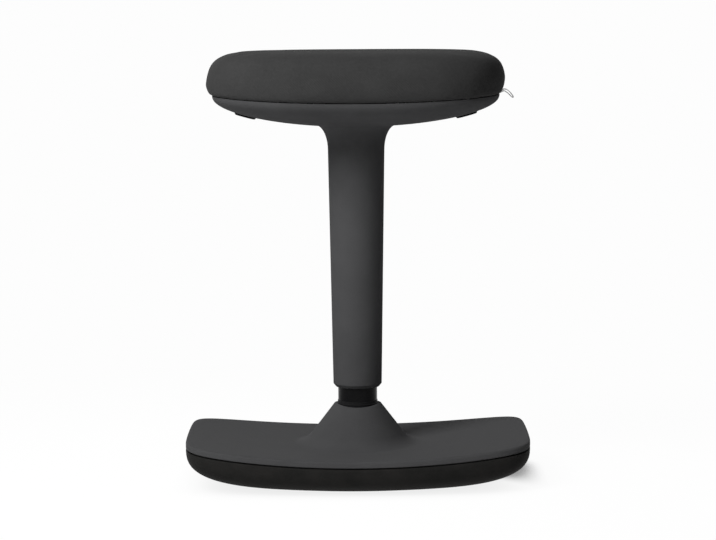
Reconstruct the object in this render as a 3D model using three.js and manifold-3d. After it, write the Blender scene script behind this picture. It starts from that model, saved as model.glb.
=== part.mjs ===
// A perch stool: an oblong padded seat on a gas lift, over a shallow rocker base.
// Millimetres, +Z up, X across the seat, Y front to back. The origin is on the floor under the column.
import * as THREE from "three";
import { mergeVertices } from "three/addons/utils/BufferGeometryUtils.js";
import Module from "manifold-3d";

const wasm = await Module();
wasm.setup();

// Fits that the whole stool shares
const seatedGap = 0.3; // between two pieces that are fixed to each other
const runningGap = 0.4; // around a piece that turns or slides in another
const overrun = 2; // how far a cut runs past the face that it opens
const weldReach = 1e-4; // points closer than this are one point

// How many sides a round piece has, by its size
const bigSides = 28;
const middleSides = 24;
const smallSides = 12;
const tinySides = 8;
const ballSides = 6;
const ballBands = 4;
const baseSides = 44;
const shellSides = 40;
const cushionSides = 36;
const wireSides = 4;

// Base: the outline of its rim and the curve of the rocker
const baseHalfWidth = 218.2;
const baseHalfDepth = 145;
const baseSquareness = 8.2;
const baseSideBowShare = 0.12;
const baseEndBowShare = 0.013;
const baseRise = 16; // how much higher the ends of the base are than its middle

// Rocker sole: a rubber tray with a flat patch in the middle of its underside
const soleRimHeight = 35.4;
const soleFloor = 8;
const soleWall = 6;
const solePatchHalfWidth = 40;
const solePatchHalfDepth = 78;
const solePatchSquareness = 2;
const soleSideFullness = 2.7; // 2 turns the side up as an ellipse does, and more fills it out
const soleTongueHeight = 4;
const soleTongueWall = 2;

// Base cover: the moulded top with the hub that the column rises from
const baseSeamGap = 1.2; // the open joint between sole and cover
const coverSkirtHeight = 8.5;
const coverEdgeRadius = 3;
const coverWall = 3.5;
const coverSkirtWall = 3;
const hubHeight = 51.8; // above the cover's top
const hubBoreRadius = 27;
const hubRimRound = 6;
const hubFootRound = 31;
const hubFlankAngle = THREE.MathUtils.degToRad(53);
const hubCollarDepth = 14.5;
const hubCollarWall = 2.5;
const hubRingRise = 2.2; // above the hub's rim
const hubRingHeight = 12.4;

// Steel plate and socket inside the base
const plateInset = 60.2; // from the end of the base to the end of the plate
const plateHalfDepth = 108;
const plateSquareness = 5;
const plateThickness = 6;
const soleBossHeight = 11.7; // from the sole's floor to the plate
const soleBossRadius = 9;
const socketRadius = 29;
const socketFlangeRadius = 35;
const socketFlangeThickness = 4;

// Screws that hold sole, plate and cover together
const baseScrewInset = 30; // from the end of the plate
const baseScrewY = 72;
const baseScrewMiddleY = 92;
const baseScrewRadius = 2.5;
const baseScrewHeadRadius = 4.8;
const baseScrewHeadHeight = 3;
const baseScrewSink = 5; // depth of the pocket that the head lies in
const baseScrewGrip = 12; // thread length in the cover's boss
const coverBossRadius = 7;

// Gas lift: a 50 mm outer tube with a 28 mm gas cylinder that rises out of it
const tubeRadius = 25;
const tubeFootRadius = 24; // the tube's foot tapers into its socket
const tubeWall = 1.8;
const tubeLength = 365;
const tubeFootLevel = 20;
const tubeTaperTop = 82;
const tubeEndWall = 3;
const cylinderRadius = 14;
const cylinderWall = 2;
const cylinderTipRadius = 13.3;
const cylinderTaperLength = 44;
const cylinderLevel = 52.6; // the cylinder's lower end with the seat at its lowest
const cylinderPlugLength = 55;
const guideBushLength = 55;
const guideBushFlange = 3;
const rodRadius = 5;
const rodTailRadius = 4;
const rodTailLength = 8; // below the tube's foot
const rodLength = 263;
const rodNeckRadius = 3.5;
const glandLength = 17;
const pistonLength = 14;
const pistonSealRadius = 1.4;
const raceRadius = 17;
const raceThickness = 2;
const ballRadius = 2.6;
const ballCount = 8;
const ballCircleRadius = 11;
const cageThickness = 2.2;
const cageHalfWidth = 3.4;
const bumpStopRadius = 15;
const washerRadius = 12;
const washerThickness = 2.4;
const clipRadius = 8;
const clipThickness = 1.2;
const clipGrooveDepth = 0.9;

// Seat shell: a shallow boat and the sleeve that hangs from it, in one moulding
const seatRise = 5; // how much higher the joint under the cushion is at the ends of the seat
const shellHalfWidth = 181.5;
const shellHalfDepth = 134;
const seatSquareness = 3.2;
const shellDepth = 36.2;
const shellMiddleFlatness = 1.8;
const shellEndFullness = 2.3;
const shellWall = 3.5;
const sleeveRadius = 35.4;
const sleeveEndRadius = 30.7;
const sleeveWall = 3;
const bareTube = 21.6; // what shows between hub and sleeve with the seat at its lowest
const sleeveChamfer = 4;
const sleeveFilletWidth = 14.7;
const sleeveFilletHeight = 28;
const sleeveLipHeight = 2.5;
const sleeveBushLength = 28;
const sleeveBushWall = 2.2;

// Cushion: a moulded board, foam and a fabric cover
const cushionOverhang = 7; // beyond the shell
const cushionHeight = 60.3;
const cushionWaist = 23; // height of the widest line above the joint
const cushionCrown = 1.6;
const cushionFlatness = 13; // how late the top turns down towards its edge
const coverFabric = 1.3;
const foamClearance = 0.6; // between the fabric and the foam
const hemWidth = 24;
const boardInset = 13;
const boardThickness = 9;

// Bracket and socket that join the seat to the gas cylinder
const bracketHalfLength = 62;
const bracketHalfWidth = 30;
const bracketFlange = 27;
const bracketDepth = 26;
const bracketThickness = 3;
const upperSocketRadius = 18;
const upperSocketLength = 45;
const socketRest = 36.6; // from the guide bush up to the socket with the seat at its lowest
const bracketBoltX = 44;
const bracketBoltY = 45;
const bracketBoltRadius = 3;
const bracketBoltHeadRadius = 5.5;
const bracketBoltHeadHeight = 4;
const teeNutRadius = 4.6;
const teeNutFlangeRadius = 9;
const teeNutFlange = 1.2;

// Screws that hold the shell to the board
const shellScrewInsetX = 85.5; // from the shell's end
const shellScrewInsetY = 64; // from the shell's front and back
const shellScrewRadius = 2.2;
const shellScrewHeadRadius = 4.2;
const shellScrewHeadHeight = 2.6;
const shellScrewSink = 5;
const shellScrewGrip = 6; // thread length in the board
const shellBossRadius = 6.5;

// Release: two paddles under the seat, each on a lever that pushes the lift's valve down
const valvePinRadius = 3.5;
const valvePinLength = 29;
const valvePinProud = 4; // above the cylinder
const valveBoreDepth = 32;
const actuatorRadius = 5;
const actuatorThickness = 2.7;
const actuatorTongueHeight = 7.5;
const actuatorTongueWidth = 7;
const actuatorTongueThickness = 3;
const crossPinRadius = 1.5;
const crossPinLength = 12.4;
const leverPivotX = 50;
const leverThickness = 3;
const leverSpread = 3.5; // from the seat's centre plane to the middle of each lever
const leverHalfHeight = 3.5;
const leverTip = 4.5; // past the cross pin
const leverSlotLength = 4.6;
const leverPinClear = 0.2;
const leverHubRadius = 6.5;
const leverCrank = 43; // length of the slope that drops from the lever to its blade
const leverDrop = 5; // from the pivot down to the blade that holds the paddle
const pivotPinRadius = 3;
const pivotPinHeadRadius = 4.6;
const pivotPinHeadHeight = 1.4;
const paddleInset = 28.5; // from the shell's end
const paddleWidth = 26;
const paddleHalfLength = 34;
const paddleProud = 1.8;
const paddleFlange = 2.5; // how far the paddle's rim laps over the window's edge
const paddleFlangeThickness = 2;
const windowGap = 1.2;
const paddleBossWall = 2;
const paddleBossHeight = 7;
const springOffsetY = 18;
const springRadius = 5;
const springWireRadius = 0.6;
const springTurns = 5;
const closedEndShare = 0.12; // of the spring's climb, in its flat end turns

// Pull tab: a folded ribbon sewn into the joint at the right end of the seat
const tabWidth = 12;
const tabThickness = 0.7;
const tabReach = 22; // from the joint to the tip
const tabSetback = 44; // behind the seat's middle

// Levels that follow from the sizes above
const soleBossTop = soleFloor + soleBossHeight;
const plateLevel = soleBossTop + seatedGap;
const plateTop = plateLevel + plateThickness;
const coverSeam = soleRimHeight + baseSeamGap;
const coverTop = coverSeam + coverSkirtHeight;
const hubTop = coverTop + hubHeight;
const hubCollarLevel = hubTop - hubCollarDepth;
const sleeveEndLevel = hubTop + bareTube;
const tubeTop = tubeFootLevel + tubeLength;
const upperSocketLevel = tubeTop + guideBushFlange + socketRest;
const cylinderTop = upperSocketLevel + upperSocketLength;
const bracketFloor = cylinderTop - 2 * bracketThickness;
const bracketTop = bracketFloor + bracketDepth;
const boardLevel = bracketTop + seatedGap;
const boardTop = boardLevel + boardThickness;
const seamLevel = boardLevel - 2 * seatedGap - coverFabric; // the joint at the middle of the seat
const cushionTop = seamLevel + cushionHeight;
const waistLevel = seamLevel + cushionWaist;
const valvePinTop = cylinderTop + valvePinProud;
const actuatorLevel = valvePinTop + seatedGap;
const leverLevel = actuatorLevel + actuatorThickness + leverHalfHeight + runningGap;

// Places that follow from the sizes above
const plateHalfWidth = baseHalfWidth - plateInset;
const baseScrewX = plateHalfWidth - baseScrewInset;
const shellScrewX = shellHalfWidth - shellScrewInsetX;
const shellScrewY = shellHalfDepth - shellScrewInsetY;
const paddleOuterX = shellHalfWidth - paddleInset;
const paddleInnerX = paddleOuterX - paddleWidth;
const leverBendX = paddleInnerX - leverCrank;

// Materials
const finish = (color, roughness, metalness = 0) =>
  new THREE.MeshStandardMaterial({ color, roughness, metalness });
const charcoalPlastic = finish(0x454647, 0.55);
const blackRubber = finish(0x17181a, 0.7);
const blackPlastic = finish(0x111214, 0.45);
const blackSteel = finish(0x141416, 0.3, 0.6);
const brightSteel = finish(0xb9bcc0, 0.3, 1);
const paleNylon = finish(0xd9d7cf, 0.5);
const charcoalFabric = finish(0x3b3b3c, 0.95);
const greyFoam = finish(0x8d8f92, 0.95);
const greyRibbon = finish(0xbdbdbd, 0.9);

const stool = new THREE.Group();

function add(name, geometry, material) {
  const mesh = new THREE.Mesh(geometry, material);
  mesh.name = name;
  stool.add(mesh);
  return mesh;
}

// Ring solids: closed rings of points joined one after another

const corners = 4;
const cornerCrowdingShare = 0.6;
const seatCrowdingShare = 0.35;

// Directions round a ring, closer together at its corners by the crowding share
function directions(count, crowdingShare) {
  return Array.from({ length: count }, (_, i) => {
    const even = (2 * Math.PI * i) / count;
    return even + (crowdingShare * Math.sin(corners * even)) / corners;
  });
}

// A point on a rounded rectangle with half sizes of 1: squareness 2 is an ellipse
function unitOutline(angle, squareness) {
  const c = Math.cos(angle);
  const s = Math.sin(angle);
  const reach = (Math.abs(c) ** squareness + Math.abs(s) ** squareness) ** (-1 / squareness);
  return [c * reach, s * reach];
}

// Turns every face out if the surface was wound the other way
function facingOut(geometry) {
  const at = geometry.getAttribute("position");
  const index = geometry.index.array;
  const [a, b, c] = [new THREE.Vector3(), new THREE.Vector3(), new THREE.Vector3()];
  let volume = 0;
  for (let i = 0; i < index.length; i += 3) {
    a.fromBufferAttribute(at, index[i]);
    b.fromBufferAttribute(at, index[i + 1]);
    c.fromBufferAttribute(at, index[i + 2]);
    volume += a.dot(b.cross(c));
  }
  if (volume < 0) {
    for (let i = 0; i < index.length; i += 3) {
      [index[i + 1], index[i + 2]] = [index[i + 2], index[i + 1]];
    }
  }
  return geometry;
}

// Joins the rings into a solid: round a bore the last ring meets the first, otherwise each end is capped
function ringSolid(rings, roundABore = false) {
  const count = rings[0].length;
  const points = rings.flat();
  const faces = [];
  const steps = roundABore ? rings.length : rings.length - 1;
  for (let k = 0; k < steps; k++) {
    const from = k * count;
    const to = ((k + 1) % rings.length) * count;
    for (let i = 0; i < count; i++) {
      const next = (i + 1) % count;
      faces.push(from + i, from + next, to + i, from + next, to + next, to + i);
    }
  }
  if (!roundABore) {
    for (const [ring, first, flip] of [
      [rings[0], 0, true],
      [rings.at(-1), (rings.length - 1) * count, false],
    ]) {
      const centre = new THREE.Vector3();
      ring.forEach((p) => centre.add(p));
      points.push(centre.divideScalar(count));
      for (let i = 0; i < count; i++) {
        const next = (i + 1) % count;
        const pair = flip ? [first + next, first + i] : [first + i, first + next];
        faces.push(...pair, points.length - 1);
      }
    }
  }
  const geometry = new THREE.BufferGeometry().setFromPoints(points);
  geometry.setIndex(faces);
  return facingOut(geometry);
}

// A turned piece: its section is a closed list of [radius, level], or starts and ends on the axis
function turned(section, segments = bigSides) {
  const onAxis = section[0][0] === 0;
  const outline = onAxis ? section : [...section, section[0]];
  const lathe = new THREE.LatheGeometry(
    outline.map(([radius, level]) => new THREE.Vector2(radius, level)),
    segments,
  );
  lathe.rotateX(Math.PI / 2);
  return facingOut(onlyPositions(lathe));
}

// A plain ring between two radii and two levels
const hollowRing = (inner, outer, low, high, segments) =>
  turned([[inner, low], [outer, low], [outer, high], [inner, high]], segments);

function onlyPositions(geometry) {
  const bare = geometry.clone();
  bare.deleteAttribute("normal");
  bare.deleteAttribute("uv");
  return mergeVertices(bare, weldReach);
}

const asSolid = (geometry) => {
  const merged = onlyPositions(geometry);
  return new wasm.Manifold(
    new wasm.Mesh({
      numProp: 3,
      vertProperties: new Float32Array(merged.getAttribute("position").array),
      triVerts: new Uint32Array(merged.index.array),
    }),
  );
};

function asGeometry(solid) {
  const mesh = solid.getMesh();
  const geometry = new THREE.BufferGeometry();
  geometry.setAttribute("position", new THREE.BufferAttribute(new Float32Array(mesh.vertProperties), 3));
  geometry.setIndex(new THREE.BufferAttribute(new Uint32Array(mesh.triVerts), 1));
  return geometry;
}

const joined = (first, others) => others.reduce((all, next) => all.add(asSolid(next)), first);
const cutBy = (first, others) => others.reduce((all, next) => all.subtract(asSolid(next)), first);

const box = (lowX, highX, lowY, highY, lowZ, highZ) =>
  facingOut(
    onlyPositions(
      new THREE.BoxGeometry(highX - lowX, highY - lowY, highZ - lowZ).translate(
        (lowX + highX) / 2,
        (lowY + highY) / 2,
        (lowZ + highZ) / 2,
      ),
    ),
  );

const post = (radius, low, high, x = 0, y = 0, segments = smallSides) =>
  turned([[0, low], [radius, low], [radius, high], [0, high]], segments).translate(x, y, 0);

// A pin along Y through a point in the XZ plane
const crossPost = (radius, low, high, x, z, segments = smallSides) =>
  turned([[0, low], [radius, low], [radius, high], [0, high]], segments)
    .rotateX(-Math.PI / 2)
    .translate(x, 0, z);

const mirroredPairs = (x, y) => [[-x, -y], [x, -y], [x, y], [-x, y]];

// Base

const baseDirections = directions(baseSides, cornerCrowdingShare);
const riseAt = (x) => baseRise * (x / baseHalfWidth) ** 2;

// The base's outline in one direction, drawn in by an inset
function basePlan(angle, inset = 0) {
  const [u, v] = unitOutline(angle, baseSquareness);
  const x = (baseHalfWidth - inset) * u * (1 - baseEndBowShare * v * v);
  const y = (baseHalfDepth - inset) * v * (1 - baseSideBowShare * u * u);
  return [x, y];
}

// A ring that follows the base's outline, lifted with the rocker's curve
const baseRing = (inset, level) =>
  baseDirections.map((angle) => {
    const [x, y] = basePlan(angle, inset);
    return new THREE.Vector3(x, y, level + riseAt(x));
  });

const baseScrewPlaces = [
  ...mirroredPairs(baseScrewX, baseScrewY),
  [0, -baseScrewMiddleY],
  [0, baseScrewMiddleY],
];

const sideTurnShares = [0, 0.16, 0.38, 0.6, 0.8, 1];

function soleSideRings(inset, floor, steps) {
  return steps.map((angle) =>
    baseDirections.map((direction) => {
      const [u, v] = unitOutline(direction, solePatchSquareness);
      const [x, y] = basePlan(direction, inset);
      const out = Math.sin(angle) ** (2 / soleSideFullness);
      const up = 1 - Math.cos(angle) ** (2 / soleSideFullness);
      const rim = soleRimHeight + riseAt(x);
      return new THREE.Vector3(
        THREE.MathUtils.lerp(solePatchHalfWidth * u, x, out),
        THREE.MathUtils.lerp(solePatchHalfDepth * v, y, out),
        floor + (rim - floor) * up,
      );
    }),
  );
}

function rockerSole() {
  const steps = sideTurnShares.map((share) => (share * Math.PI) / 2);
  const tongueInset = coverSkirtWall + runningGap;
  const outside = soleSideRings(0, 0, steps);
  const inside = soleSideRings(soleWall, soleFloor, steps).reverse();
  const rim = [
    baseRing(tongueInset, soleRimHeight),
    baseRing(tongueInset, soleRimHeight + soleTongueHeight),
    baseRing(tongueInset + soleTongueWall, soleRimHeight + soleTongueHeight),
  ];
  const tray = asSolid(ringSolid([...outside, ...rim, ...inside]));
  const bosses = baseScrewPlaces.map(([x, y]) => post(soleBossRadius, screwSeat(x), soleBossTop, x, y));
  const holes = baseScrewPlaces.map(([x, y]) =>
    post(baseScrewRadius + runningGap, -overrun, soleBossTop + overrun, x, y, tinySides),
  );
  const pockets = baseScrewPlaces.map(([x, y]) =>
    post(baseScrewHeadRadius + runningGap, -overrun, screwSeat(x), x, y),
  );
  return asGeometry(cutBy(cutBy(joined(tray, bosses), holes), pockets));
}

// The level of the shoulder that a base screw's head bears on
const screwSeat = (x) => baseScrewSink + riseAt(x) / 2;

const halfwayShare = 0.5;
const rimShares = [0, halfwayShare, 1];
const footShares = [1, 0.75, 0.5, 0.25, 0];

// The hub's section as [radius, height above the cover's top, slope angle], from its rim to its foot
function hubSection() {
  const turn = 1 - Math.cos(hubFlankAngle);
  const flank = (hubHeight - (hubRimRound + hubFootRound) * turn) / Math.sin(hubFlankAngle);
  const footRadius =
    hubBoreRadius +
    (hubRimRound + hubFootRound) * Math.sin(hubFlankAngle) +
    flank * Math.cos(hubFlankAngle);
  const section = [];
  for (const share of rimShares) {
    const slope = share * hubFlankAngle;
    const height = hubHeight - hubRimRound * (1 - Math.cos(slope));
    section.push([hubBoreRadius + hubRimRound * Math.sin(slope), height, slope]);
  }
  for (const share of footShares) {
    const slope = share * hubFlankAngle;
    section.push([
      footRadius - hubFootRound * Math.sin(slope),
      hubFootRound * (1 - Math.cos(slope)),
      slope,
    ]);
  }
  return section;
}

function baseCover() {
  const section = hubSection();
  const footRadius = section.at(-1)[0];
  // The rocker's curve fades out up the hub, so that its rim is level
  const roundRing = (radius, height) =>
    baseDirections.map((angle) => {
      const x = radius * Math.cos(angle);
      const fade = THREE.MathUtils.clamp((radius - hubBoreRadius) / (footRadius - hubBoreRadius), 0, 1);
      return new THREE.Vector3(x, radius * Math.sin(angle), coverTop + height + riseAt(x) * fade);
    });
  const betweenRing = (share, inset, drop) =>
    baseDirections.map((angle) => {
      const [edgeX, edgeY] = basePlan(angle, inset);
      const x = THREE.MathUtils.lerp(footRadius * Math.cos(angle), edgeX, share);
      const y = THREE.MathUtils.lerp(footRadius * Math.sin(angle), edgeY, share);
      return new THREE.Vector3(x, y, coverTop - drop + riseAt(x));
    });
  const top = [
    ...section.map(([radius, height]) => roundRing(radius, height)),
    betweenRing(halfwayShare, coverEdgeRadius, 0),
  ];
  const edge = rimShares.map((share) => {
    const turn = (share * Math.PI) / 2;
    const inset = coverEdgeRadius * (1 - Math.sin(turn));
    return baseRing(inset, coverTop - coverEdgeRadius * (1 - Math.cos(turn)));
  });
  const skirt = [
    baseRing(0, coverSeam),
    baseRing(coverSkirtWall, coverSeam),
    baseRing(coverSkirtWall, coverTop - coverWall),
    betweenRing(halfwayShare, coverSkirtWall, coverWall),
  ];
  // The inner face of the hub lies one wall inside its outer face
  const collarRadius = hubBoreRadius + hubCollarWall;
  const inner = section
    .map(([radius, height, slope]) => [
      radius - coverWall * Math.sin(slope),
      height - coverWall * Math.cos(slope),
    ])
    .filter(([radius]) => radius > collarRadius)
    .reverse();
  const collar = [
    [collarRadius, inner.at(-1)[1]],
    [collarRadius, hubCollarLevel - coverTop],
    [hubBoreRadius, hubCollarLevel - coverTop],
  ];
  const hollow = [...inner, ...collar].map(([radius, height]) => roundRing(radius, height));
  const shell = asSolid(ringSolid([...top, ...edge, ...skirt, ...hollow], true));
  const bosses = baseScrewPlaces.map(([x, y]) =>
    post(coverBossRadius, plateTop + seatedGap, coverTop + riseAt(x) - coverWall / 2, x, y, tinySides),
  );
  const pilots = baseScrewPlaces.map(([x, y]) =>
    post(baseScrewRadius + seatedGap, plateTop - overrun, screwTip + runningGap, x, y, tinySides),
  );
  return asGeometry(cutBy(joined(shell, bosses), pilots));
}

const screwTip = plateTop + seatedGap + baseScrewGrip;

function basePlate() {
  const outline = new THREE.Shape(
    directions(middleSides, seatCrowdingShare).map((angle) => {
      const [u, v] = unitOutline(angle, plateSquareness);
      return new THREE.Vector2(plateHalfWidth * u, plateHalfDepth * v);
    }),
  );
  const holes = [
    [tubeFootRadius + 2 * runningGap, 0, 0],
    ...baseScrewPlaces.map(([x, y]) => [baseScrewRadius + runningGap, x, y]),
  ];
  for (const [radius, x, y] of holes) {
    outline.holes.push(new THREE.Path().absarc(x, y, radius, 0, 2 * Math.PI, true));
  }
  const plate = new THREE.ExtrudeGeometry(outline, {
    depth: plateThickness,
    bevelEnabled: false,
    curveSegments: tinySides,
  });
  return facingOut(onlyPositions(plate.translate(0, 0, plateLevel)));
}

// The lift tube's outer radius at a level: its foot is a slow taper
function tubeRadiusAt(level) {
  const share = (Math.min(level, tubeTaperTop) - tubeFootLevel) / (tubeTaperTop - tubeFootLevel);
  return THREE.MathUtils.lerp(tubeFootRadius, tubeRadius, share);
}

function hubSocket() {
  const low = plateTop + seatedGap;
  const high = hubCollarLevel - seatedGap;
  return turned(
    [
      [tubeRadiusAt(low) + seatedGap, low],
      [socketFlangeRadius, low],
      [socketFlangeRadius, low + socketFlangeThickness],
      [socketRadius, low + socketFlangeThickness],
      [socketRadius, high],
      [tubeRadiusAt(high) + seatedGap, high],
    ],
    bigSides,
  );
}

const hubRing = () =>
  hollowRing(
    tubeRadius + runningGap,
    hubBoreRadius - seatedGap,
    hubTop + hubRingRise - hubRingHeight,
    hubTop + hubRingRise,
    bigSides,
  );

function baseScrew(x, y) {
  const seat = screwSeat(x);
  return turned(
    [
      [0, seat - baseScrewHeadHeight - seatedGap],
      [baseScrewHeadRadius, seat - baseScrewHeadHeight - seatedGap],
      [baseScrewHeadRadius, seat - seatedGap],
      [baseScrewRadius, seat - seatedGap],
      [baseScrewRadius, screwTip - baseScrewRadius],
      [0, screwTip],
    ],
    tinySides,
  ).translate(x, y, 0);
}

// Gas lift

const bearingLevel = tubeFootLevel + tubeEndWall + seatedGap;
const cageLevel = bearingLevel + raceThickness + seatedGap;
const upperRaceLevel = cageLevel + 2 * ballRadius + seatedGap;
const shoulderLevel = upperRaceLevel + raceThickness + seatedGap;
const rodTop = tubeFootLevel - rodTailLength + rodLength;
const pistonLevel = rodTop + seatedGap;

const liftTube = () =>
  turned(
    [
      [rodTailRadius + runningGap, tubeFootLevel],
      [tubeFootRadius, tubeFootLevel],
      [tubeRadius, tubeTaperTop],
      [tubeRadius, tubeTop],
      [tubeRadius - tubeWall, tubeTop],
      [tubeRadius - tubeWall, tubeTaperTop],
      [tubeFootRadius - tubeWall, tubeFootLevel + tubeEndWall],
      [rodTailRadius + runningGap, tubeFootLevel + tubeEndWall],
    ],
    bigSides,
  );

const guideBush = () =>
  turned(
    [
      [cylinderRadius + runningGap, tubeTop - guideBushLength],
      [tubeRadius - tubeWall - seatedGap, tubeTop - guideBushLength],
      [tubeRadius - tubeWall - seatedGap, tubeTop + seatedGap],
      [tubeRadius, tubeTop + seatedGap],
      [tubeRadius, tubeTop + guideBushFlange],
      [cylinderRadius + runningGap, tubeTop + guideBushFlange],
    ],
    bigSides,
  );

const bearingRace = (level) =>
  hollowRing(rodTailRadius + runningGap, raceRadius, level, level + raceThickness, smallSides);

// The cage and its balls, as one piece
function ballCage() {
  const middle = cageLevel + ballRadius;
  const cage = asSolid(
    hollowRing(
      ballCircleRadius - cageHalfWidth,
      ballCircleRadius + cageHalfWidth,
      middle - cageThickness / 2,
      middle + cageThickness / 2,
      smallSides,
    ),
  );
  const balls = Array.from({ length: ballCount }, (_, i) => {
    const angle = (2 * Math.PI * i) / ballCount;
    return new THREE.SphereGeometry(ballRadius, ballSides, ballBands)
      .rotateX(Math.PI / 2)
      .translate(ballCircleRadius * Math.cos(angle), ballCircleRadius * Math.sin(angle), middle);
  });
  return asGeometry(joined(cage, balls));
}

const clipLevel = tubeFootLevel - runningGap - washerThickness - seatedGap - clipThickness;

const pistonRod = () =>
  turned(
    [
      [0, tubeFootLevel - rodTailLength],
      [rodTailRadius, tubeFootLevel - rodTailLength],
      [rodTailRadius, clipLevel - seatedGap],
      [rodTailRadius - clipGrooveDepth, clipLevel - seatedGap],
      [rodTailRadius - clipGrooveDepth, clipLevel + clipThickness + seatedGap],
      [rodTailRadius, clipLevel + clipThickness + seatedGap],
      [rodTailRadius, shoulderLevel],
      [rodRadius, shoulderLevel],
      [rodRadius, rodTop],
      [rodNeckRadius, rodTop],
      [rodNeckRadius, rodTop + pistonLength + 2 * seatedGap],
      [0, rodTop + pistonLength + 2 * seatedGap],
    ],
    smallSides,
  );

const rodWasher = () =>
  hollowRing(
    rodTailRadius + seatedGap,
    washerRadius,
    clipLevel + clipThickness + seatedGap,
    clipLevel + clipThickness + seatedGap + washerThickness,
    smallSides,
  );

// A spring clip with an open mouth, pushed into the rod's groove from the side
function rodClip() {
  const inner = rodTailRadius - clipGrooveDepth + seatedGap / 2;
  const top = clipLevel + clipThickness;
  const ring = asSolid(hollowRing(inner, clipRadius, clipLevel, top, middleSides));
  const mouth = box(0, clipRadius + overrun, -inner, inner, clipLevel - overrun, top + overrun);
  return asGeometry(cutBy(ring, [mouth]));
}

const bumpStop = () =>
  turned(
    [
      [rodRadius + runningGap, shoulderLevel],
      [bumpStopRadius, shoulderLevel],
      [cylinderRadius, cylinderLevel - seatedGap],
      [rodRadius + runningGap, cylinderLevel - seatedGap],
    ],
    smallSides,
  );

const pistonRadius = cylinderRadius - cylinderWall - runningGap;
const sealMiddle = pistonLevel + pistonLength / 2;

const liftPiston = () =>
  turned(
    [
      [rodNeckRadius + seatedGap, pistonLevel],
      [pistonRadius, pistonLevel],
      [pistonRadius, sealMiddle - pistonSealRadius - seatedGap],
      [pistonRadius - 2 * pistonSealRadius, sealMiddle - pistonSealRadius - seatedGap],
      [pistonRadius - 2 * pistonSealRadius, sealMiddle + pistonSealRadius + seatedGap],
      [pistonRadius, sealMiddle + pistonSealRadius + seatedGap],
      [pistonRadius, pistonLevel + pistonLength],
      [rodNeckRadius + seatedGap, pistonLevel + pistonLength],
    ],
    smallSides,
  );

function pistonSeal() {
  const centre = pistonRadius - pistonSealRadius + seatedGap / 2;
  const section = Array.from({ length: tinySides }, (_, i) => {
    const angle = (2 * Math.PI * i) / tinySides;
    return [centre + pistonSealRadius * Math.cos(angle), sealMiddle + pistonSealRadius * Math.sin(angle)];
  });
  return turned(section, smallSides);
}

const rodGland = () =>
  hollowRing(
    rodRadius + runningGap,
    cylinderRadius - cylinderWall - seatedGap,
    cylinderLevel,
    cylinderLevel + glandLength,
    smallSides,
  );

const gasCylinder = () =>
  turned(
    [
      [cylinderRadius - cylinderWall, cylinderLevel],
      [cylinderRadius, cylinderLevel],
      [cylinderRadius, cylinderTop - cylinderTaperLength],
      [cylinderTipRadius, cylinderTop],
      [valvePinRadius + runningGap, cylinderTop],
      [valvePinRadius + runningGap, cylinderTop - valveBoreDepth],
      [0, cylinderTop - valveBoreDepth],
      [0, cylinderTop - cylinderPlugLength],
      [cylinderRadius - cylinderWall, cylinderTop - cylinderPlugLength],
    ],
    middleSides,
  );

// Seat shell

const seatDirections = directions(shellSides, seatCrowdingShare);
const seatRiseAt = (x) => seatRise * (x / shellHalfWidth) ** 2;

// How far out a point of the seat's plan lies: 0 at the middle and 1 on the outline
const reachShare = (x, y, halfWidth, halfDepth) =>
  (Math.abs(x / halfWidth) ** seatSquareness + Math.abs(y / halfDepth) ** seatSquareness) **
  (1 / seatSquareness);

function seatPlan(angle, share, inset = 0) {
  const [u, v] = unitOutline(angle, seatSquareness);
  return [(shellHalfWidth - inset) * u * share, (shellHalfDepth - inset) * v * share];
}

// The level of the shell's underside, or of a surface that lies inside it by an inset
function undersideAt(x, y, inset = 0) {
  const share = Math.min(1, reachShare(x, y, shellHalfWidth - inset, shellHalfDepth - inset));
  const drop = (1 - share ** shellMiddleFlatness) ** (1 / shellEndFullness);
  return seamLevel + seatRiseAt(x) - (shellDepth - inset) * drop;
}

function undersideRing(share, inset, drawnIn = 0) {
  return seatDirections.map((angle) => {
    const [edgeX, edgeY] = seatPlan(angle, 1, inset);
    const round = sleeveRadius + sleeveFilletWidth - drawnIn;
    const x = THREE.MathUtils.lerp(round * Math.cos(angle), edgeX, share);
    const y = THREE.MathUtils.lerp(round * Math.sin(angle), edgeY, share);
    return new THREE.Vector3(x, y, undersideAt(x, y, inset));
  });
}

const sleeveRing = (radius, level) =>
  seatDirections.map((angle) => new THREE.Vector3(radius * Math.cos(angle), radius * Math.sin(angle), level));

const filletShares = [0.35, 0.7, 1];

// The fillet between the boat's underside and the sleeve
function filletRing(turn, inset, drawnIn = 0) {
  const outer = sleeveRadius + sleeveFilletWidth - drawnIn;
  const radius = outer - sleeveFilletWidth * Math.sin(turn);
  return seatDirections.map((angle) => {
    const top = undersideAt(outer * Math.cos(angle), outer * Math.sin(angle), inset);
    const level = THREE.MathUtils.lerp(top, filletFoot + inset, 1 - Math.cos(turn));
    return new THREE.Vector3(radius * Math.cos(angle), radius * Math.sin(angle), level);
  });
}

const filletFoot = seamLevel - shellDepth - sleeveFilletHeight + 2 * seatedGap;

const shellScrewPlaces = mirroredPairs(shellScrewX, shellScrewY);
const shellScrewSeat = (x, y) => undersideAt(x, y) + shellScrewSink;
const shellBossTop = (x) => boardLevel + seatRiseAt(Math.abs(x) - shellBossRadius) - seatedGap;

const undersideShares = [0, 0.35, 0.65, 0.85, 0.95, 0.99, 1];

// A solid that fills the boat above a surface one inset inside its underside, up to a level
function boatFilling(inset, top) {
  const rings = undersideShares.map((share) => undersideRing(share, inset));
  return asSolid(ringSolid([...rings, rings.at(-1).map((p) => new THREE.Vector3(p.x, p.y, top))]));
}

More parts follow.
